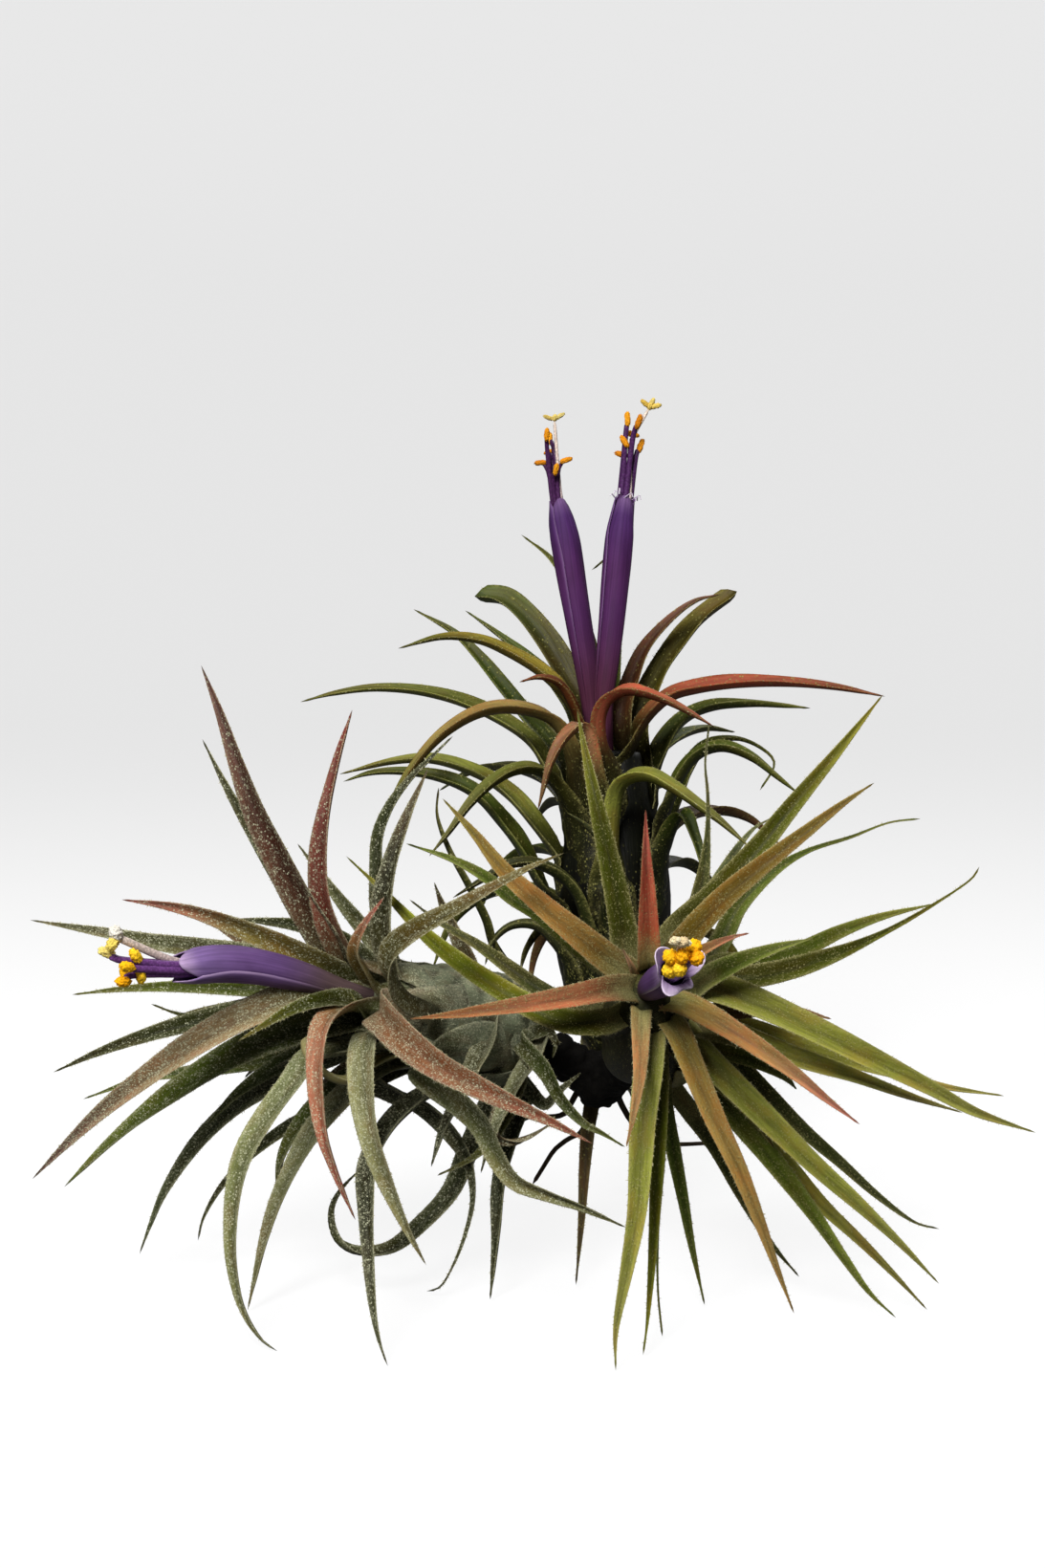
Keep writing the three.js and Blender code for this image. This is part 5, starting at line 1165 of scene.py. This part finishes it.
# %% Frill
def make_frill(flower):
    points = [place(p) for p in flower["line"]]
    places, ways, _ = read_line(points, [0.9, 1.0])
    lateral, other = tube_sides(ways)
    loops = []
    for k in range(7):
        angle = 0.4 + k * 2 * math.pi / 7
        spoke = math.cos(angle) * lateral[1] + math.sin(angle) * other[1]
        aside = np.cross(ways[1], spoke)
        rise = 1.1 + 0.5 * math.sin(3.7 * k)
        loop = [places[1] + 1.5 * spoke - 0.5 * aside,
                places[1] + 1.9 * spoke + 0.6 * rise * ways[1],
                places[1] + 2.3 * spoke + rise * ways[1] + 0.5 * aside,
                places[1] + 2.5 * spoke + 0.3 * rise * ways[1] + 0.8 * aside]
        loops.append(make_thread(loop, 0.13, 0.09, (150, 130, 160), (206, 196, 208)))
    return loops


# %% [markdown]
# Each flower becomes petals, filaments, anthers, style and stigma.

# %% Build the four flowers
petal_pieces, filament_pieces, anther_pieces = [], [], []
style_pieces, stigma_pieces = [], []
for index, flower in enumerate(FLOWERS):
    number = index + 1
    frill = make_frill(flower) if index == FRILLED else []
    petal_pieces.append(finish_piece(make_petals(flower) + frill, f"petals_{number}",
                                     f"corolla_{number}", merge=False))
    threads, lumps = make_stamens(index, flower, ANTHERS[index], STIGMAS[index])
    filament_pieces.append(finish_piece(threads, f"filaments_{number}", f"stamens_{number}"))
    anther_pieces.append(finish_piece(lumps, f"anthers_{number}", None))
    style, lobes = make_pistil(index, flower, ANTHERS[index], STIGMAS[index])
    style_pieces.append(finish_piece([style], f"style_{number}", f"pistil_{number}"))
    stigma_pieces.append(finish_piece(lobes, f"stigma_{number}", None))
    print("flower", number, "petal faces", len(petal_pieces[-1].data.polygons))

# %% [markdown]
# ## Stem and roots
#
# The stem is three knobbly arms that meet at the heart. They are joined, remeshed into one skin,
# roughened like bark and painted near black as shade. Wiry roots hang below.

# %% Stem
STEM_HEART = (-0.5, -3, -4)
BARK_VOXEL = 0.35
ROOTS = [
    [(1, -3, -8), (-2, -9, -16), (-6, -13, -24), (-11, -20, -28)],
    [(1, -3, -8), (4, -9, -15), (10, -13, -20), (17, -13, -26)],
    [(-1, -3, -7), (-7, -8, -11), (-12, -9, -18), (-19, -14, -20)],
    [(2, -2, -9), (3, -6, -19), (0, -6, -29), (-4, -12, -36)],
]


def make_arm(name):
    axis = rosette_axis(name)
    start = place(STEM_HEART)
    end = axis["base"] + 2.5 * axis["direction"]
    middle = start + 0.6 * (axis["base"] - start)
    lumps = []
    places, ways, _ = read_line([start, middle, end], np.linspace(0, 1, 7))
    for k, (spot, way) in enumerate(zip(places, ways)):
        s = k / 6
        girth = 5.3 - 2.9 * s + 0.45 * math.cos(11 * s + 1)
        lumps.append(make_lump(spot, way, 2.4, girth, (70, 56, 42), 0.15, 3 * k))
    return lumps


def roughen(piece, amount, size):
    for vertex in piece.data.vertices:
        spot = vertex.co / (size * MM)
        vertex.co += vertex.normal * noise.fractal(spot, 1.0, 2.0, 4) * amount * MM


stem = finish_piece([lump for name in AXES for lump in make_arm(name)], "stem_bark", "stem",
                    merge=False)
apply_modifier(stem, "REMESH", mode="VOXEL", voxel_size=BARK_VOXEL * MM)
roughen(stem, 0.35, 1.4)
# Painted shade: the stem is near black, as it sits in deep shadow under the bulbs.
paint(stem, (12, 10, 7))
bpy.ops.object.shade_smooth()
threads = []
for k, root in enumerate(ROOTS):
    line = [place(STEM_HEART)] + [place(p) for p in root]
    threads.append(make_thread(line, 0.62, 0.55, (40, 33, 24), (66, 54, 40), narrowing=0.4,
                               wobble=0.5, seed=k))
roots = finish_piece(threads, "roots", None)
print("stem faces", len(stem.data.polygons))

# %% [markdown]
# ## Materials
#
# A wire wraps one socket of a node tree, so that values can be added, multiplied and mixed as in
# plain arithmetic.

# %% Shader wires
class Wire:
    def __init__(self, tree, socket):
        self.tree = tree
        self.socket = socket

    def node(self, kind, inputs, output=0, **settings):
        """A node fed by these inputs, given by socket name or number."""
        made = self.tree.nodes.new(kind)
        for key, value in settings.items():
            setattr(made, key, value)
        for key, value in inputs.items():
            if isinstance(value, Wire):
                self.tree.links.new(value.socket, made.inputs[key])
            else:
                made.inputs[key].default_value = value
        return Wire(self.tree, made.outputs[output])

    def maths(self, operation, first, second):
        return self.node("ShaderNodeMath", {0: first, 1: second}, operation=operation)

    def __add__(self, other):
        return self.maths("ADD", self, other)

    def __radd__(self, other):
        return self.maths("ADD", other, self)

    def __sub__(self, other):
        return self.maths("SUBTRACT", self, other)

    def __rsub__(self, other):
        return self.maths("SUBTRACT", other, self)

    def __mul__(self, other):
        return self.maths("MULTIPLY", self, other)

    def ramp(self, low, high, start=0.0, end=1.0):
        """Runs smoothly from start to end while the value goes from low to high."""
        return self.node("ShaderNodeMapRange",
                         {"Value": self, "From Min": low, "From Max": high,
                          "To Min": start, "To Max": end},
                         interpolation_type="SMOOTHSTEP")

    def blend(self, first, second):
        """A colour that runs from the first to the second as this value goes from 0 to 1."""
        return self.node("ShaderNodeMix", {0: self, 6: first, 7: second}, output=2,
                         data_type="RGBA")

    def stretch(self, factors):
        return self.node("ShaderNodeVectorMath", {0: self, 1: factors}, operation="MULTIPLY")

    def noise(self, detail=2.0):
        return self.node("ShaderNodeTexNoise", {"Vector": self, "Scale": 1.0, "Detail": detail})

    def cells(self, output="Distance"):
        return self.node("ShaderNodeTexVoronoi", {"Vector": self, "Scale": 1.0}, output=output)

    def dim(self, amount):
        """This colour times a grey amount."""
        return self.node("ShaderNodeVectorMath", {0: self, "Scale": amount},
                         operation="SCALE")


def rgba(colour):
    return tuple(light(colour)) + (1.0,)


def new_material(name, roughness=0.6, specular=0.4):
    material = bpy.data.materials.new(name)
    material.use_nodes = True
    tree = material.node_tree
    shader = tree.nodes["Principled BSDF"]
    shader.inputs["Roughness"].default_value = roughness
    shader.inputs["Specular IOR Level"].default_value = specular
    return material, tree, shader


def attribute(tree, name, output):
    made = tree.nodes.new("ShaderNodeAttribute")
    made.attribute_name = name
    return Wire(tree, made.outputs[output])


def join_shader(tree, shader, name, wire):
    tree.links.new(wire.socket, shader.inputs[name])


def add_bump(tree, shader, height, strength, distance):
    bump = height.node("ShaderNodeBump", {"Height": height, "Strength": strength,
                                          "Distance": distance}, output="Normal")
    join_shader(tree, shader, "Normal", bump)


def dress(piece, material):
    piece.data.materials.clear()
    piece.data.materials.append(material)


# %% [markdown]
# The leaf material: streaks along the blade, soft blotches, three sizes of silver scales that lie
# along the leaf, and a pale rim. A cell pattern says which scales are there and how bright each is.

# %% Leaf material
def leaf_material(name, silver, rim, grain, dense, bold):
    material, tree, shader = new_material(name, roughness=0.5, specular=0.1)
    tint = attribute(tree, "tint", "Color")
    frost = attribute(tree, "frost", "Fac")
    edge = attribute(tree, "edge", "Fac")
    spot = attribute(tree, "leafpos", "Vector")
    streak = spot.stretch((3.0, 0.25, 1.0)).noise(3.0)
    blotch = spot.stretch((0.5, 0.16, 1.0)).noise(2.0)
    patch = spot.stretch((1.1, 0.5, 1.0)).noise(2.0)
    base = tint.dim(streak.ramp(0.3, 0.7, 0.78, 1.23))
    warm = blotch.ramp(0.45, 0.7, 0.0, 0.4)
    base = warm.blend(base, tint.stretch((1.4, 0.86, 0.8)))
    cover = frost * patch.ramp(0.3, 0.7, 0.45, 1.4) * (0.6 + edge * edge * 0.8)

    def layer(size, low, high, share):
        cell = spot.stretch((size, 0.7 * size, 1.0))
        luck = cell.cells("Color")
        chosen = (cover * share - luck.node("ShaderNodeSeparateColor", {0: luck})).ramp(-0.05, 0.05)
        bright = luck.node("ShaderNodeSeparateColor", {0: luck}, output=1)
        return cell.cells().ramp(high, low) * chosen * bright.ramp(0.0, 1.0, 0.3, 1.0)

    coarse = layer(grain, 0.26, 0.6, 0.6 * dense)
    fine = layer(2.1 * grain, 0.3, 0.6, dense)
    clump = layer(0.55 * grain, 0.2, 0.55, 0.5 * dense)
    base = base.dim(1.06 - fine * 0.12)
    base = (fine * 0.28).blend(base, rgba(silver))
    base = (coarse * bold).blend(base, rgba(silver))
    base = (clump * 0.4 * bold).blend(base, rgba(silver))
    margin = edge.maths("POWER", edge, 9.0)
    rim_noise = spot.stretch((2.0, 3.2, 1.0)).noise(2.0).ramp(0.35, 0.62)
    base = (margin * rim_noise * 0.6).blend(base, rgba(rim))
    join_shader(tree, shader, "Base Color", base)
    height = coarse * 0.6 + clump * 0.6 + fine * 0.4 + streak * 0.5
    add_bump(tree, shader, height, 0.8, 0.00016)
    return material


leaf_looks = {
    "back": leaf_material("leaf_olive", silver=(134, 130, 72), rim=(130, 124, 72), grain=3.6,
                          dense=1.0, bold=0.75),
    "left": leaf_material("leaf_silver", silver=(188, 188, 156), rim=(184, 180, 146), grain=4.5,
                          dense=1.65, bold=0.8),
    "right": leaf_material("leaf_lime", silver=(164, 158, 104), rim=(180, 170, 118), grain=5.2,
                           dense=2.3, bold=0.6),
}
for name, piece in rosettes.items():
    dress(piece, leaf_looks[name])


# %% [markdown]
# Petals have fine veins along them. Threads, pollen and bark share one grainy material with its
# grain at three sizes.

# %% Fringe, petal, thread, pollen and bark materials
def petal_material():
    material, tree, shader = new_material("petal", roughness=0.6, specular=0.08)
    tint = attribute(tree, "tint", "Color")
    coordinates = tree.nodes.new("ShaderNodeUVMap")
    flat = Wire(tree, coordinates.outputs["UV"])
    veins = flat.stretch((26.0, 1.6, 1.0)).noise(3.0)
    mottle = flat.stretch((4.0, 7.0, 1.0)).noise(3.0)
    shade = veins.ramp(0.3, 0.7, 0.84, 1.16) * mottle.ramp(0.3, 0.7, 0.88, 1.12)
    join_shader(tree, shader, "Base Color", tint.dim(shade))
    add_bump(tree, shader, veins, 0.35, 0.00012)
    return material


def grain_material(name, scale, roughness, depth):
    material, tree, shader = new_material(name, roughness=roughness, specular=0.12)
    tint = attribute(tree, "tint", "Color")
    coordinates = tree.nodes.new("ShaderNodeTexCoord")
    spot = Wire(tree, coordinates.outputs["Object"]).stretch((scale, scale, scale))
    grains = spot.cells()
    join_shader(tree, shader, "Base Color", tint.dim(grains.ramp(0.2, 0.7, 1.15, 0.7)))
    add_bump(tree, shader, 1.0 - grains, 0.6, depth)
    return material


fringe_look, _, fringe_shader = new_material("fringe", roughness=0.5)
fringe_shader.inputs["Base Color"].default_value = rgba((158, 152, 112))
petal_look = petal_material()
thread_look = grain_material("thread", 2500.0, 0.4, 0.00005)
pollen_look = grain_material("pollen", 5500.0, 0.75, 0.00012)
bark_look = grain_material("bark", 900.0, 0.85, 0.0004)
for look, pieces in ((fringe_look, list(fringes.values())), (petal_look, petal_pieces),
                     (thread_look, filament_pieces + style_pieces),
                     (pollen_look, anther_pieces + stigma_pieces), (bark_look, [stem, roots])):
    for piece in pieces:
        dress(piece, look)

# %% [markdown]
# The flat strips have done their work.

# %% Put the working strips away
for strip in (leaf_strip, core_strip, petal_strip, thread_strip):
    bpy.data.objects.remove(strip.model)

# %% [markdown]
# ## Stage, light and camera
#
# A plain pale floor runs up into a plain wall.

# %% Floor and wall
FLOOR_FRONT = -2.5
FLOOR_BACK = 0.9
SWEEP = 0.7
WALL_TOP = 3.0
HALF_WIDTH = 3.0
BELOW = 0.0002
profile = [(FLOOR_FRONT, 0.0), (FLOOR_BACK, 0.0)]
for k in range(1, 13):
    angle = k / 12 * math.pi / 2
    profile.append((FLOOR_BACK + SWEEP * math.sin(angle), SWEEP * (1 - math.cos(angle))))
profile.append((FLOOR_BACK + SWEEP, WALL_TOP))
corners = [(x, y, z - BELOW) for y, z in profile for x in (-HALF_WIDTH, HALF_WIDTH)]
faces = [(2 * k, 2 * k + 1, 2 * k + 3, 2 * k + 2) for k in range(len(profile) - 1)]
floor_mesh = bpy.data.meshes.new("floor")
floor_mesh.from_pydata(corners, [], faces)
floor = bpy.data.objects.new("floor", floor_mesh)
bpy.context.collection.objects.link(floor)
for face in floor_mesh.polygons:
    face.use_smooth = True


def floor_material():
    """White under the plant, pale grey toward the wall."""
    material, tree, shader = new_material("floor", roughness=0.9, specular=0.0)
    coordinates = tree.nodes.new("ShaderNodeTexCoord")
    parts = tree.nodes.new("ShaderNodeSeparateXYZ")
    tree.links.new(coordinates.outputs["Object"], parts.inputs[0])
    depth = Wire(tree, parts.outputs["Y"])
    tone = depth.ramp(0.06, 0.36).blend(rgba((250, 250, 250)), rgba((211, 211, 211)))
    join_shader(tree, shader, "Emission Color", tone)
    shader.inputs["Emission Strength"].default_value = 0.9
    shader.inputs["Base Color"].default_value = rgba((100, 100, 100))
    return material


dress(floor, floor_material())
floor.visible_diffuse = False
floor.visible_glossy = False
floor.visible_shadow = False

# %% [markdown]
# One large soft light stands in front, high and a little to the left. A weak one behind keeps the
# far side from going black. Each is a strength, a spread in degrees and the way to the light.

# %% Light
SUNS = [(5.0, 24, (-0.3, -0.9, 1.0)), (1.3, 40, (0.5, 0.9, 0.7))]
world = bpy.data.worlds.new("studio")
bpy.context.scene.world = world
world.use_nodes = True
world.node_tree.nodes["Background"].inputs["Color"].default_value = (1, 1, 1, 1)
world.node_tree.nodes["Background"].inputs["Strength"].default_value = 0.17
for strength, spread, heading in SUNS:
    bpy.ops.object.light_add(type="SUN", location=heading)
    sun = bpy.context.object
    sun.data.energy = strength
    sun.data.angle = math.radians(spread)
    sun.rotation_euler = Vector(heading).to_track_quat("Z", "Y").to_euler()

# %% [markdown]
# The camera stands where the measuring frame puts the viewer, and its lens gives the photo's view.

# %% Camera
LENS = 142.7
camera_data = bpy.data.cameras.new("camera")
camera = bpy.data.objects.new("camera", camera_data)
bpy.context.collection.objects.link(camera)
camera_data.sensor_width = 36
camera_data.lens = LENS
camera_data.clip_start = 0.05
camera_data.clip_end = 20
stand = HEART + VIEW_CENTRE[0] * ACROSS + VIEW_CENTRE[1] * UP + SIGHT * TOWARD
turn = Matrix((ACROSS, UP, TOWARD)).transposed()
camera.matrix_world = Matrix.Translation(Vector(stand * MM)) @ turn.to_4x4()
bpy.context.scene.camera = camera
bpy.context.scene.view_settings.view_transform = "Standard"
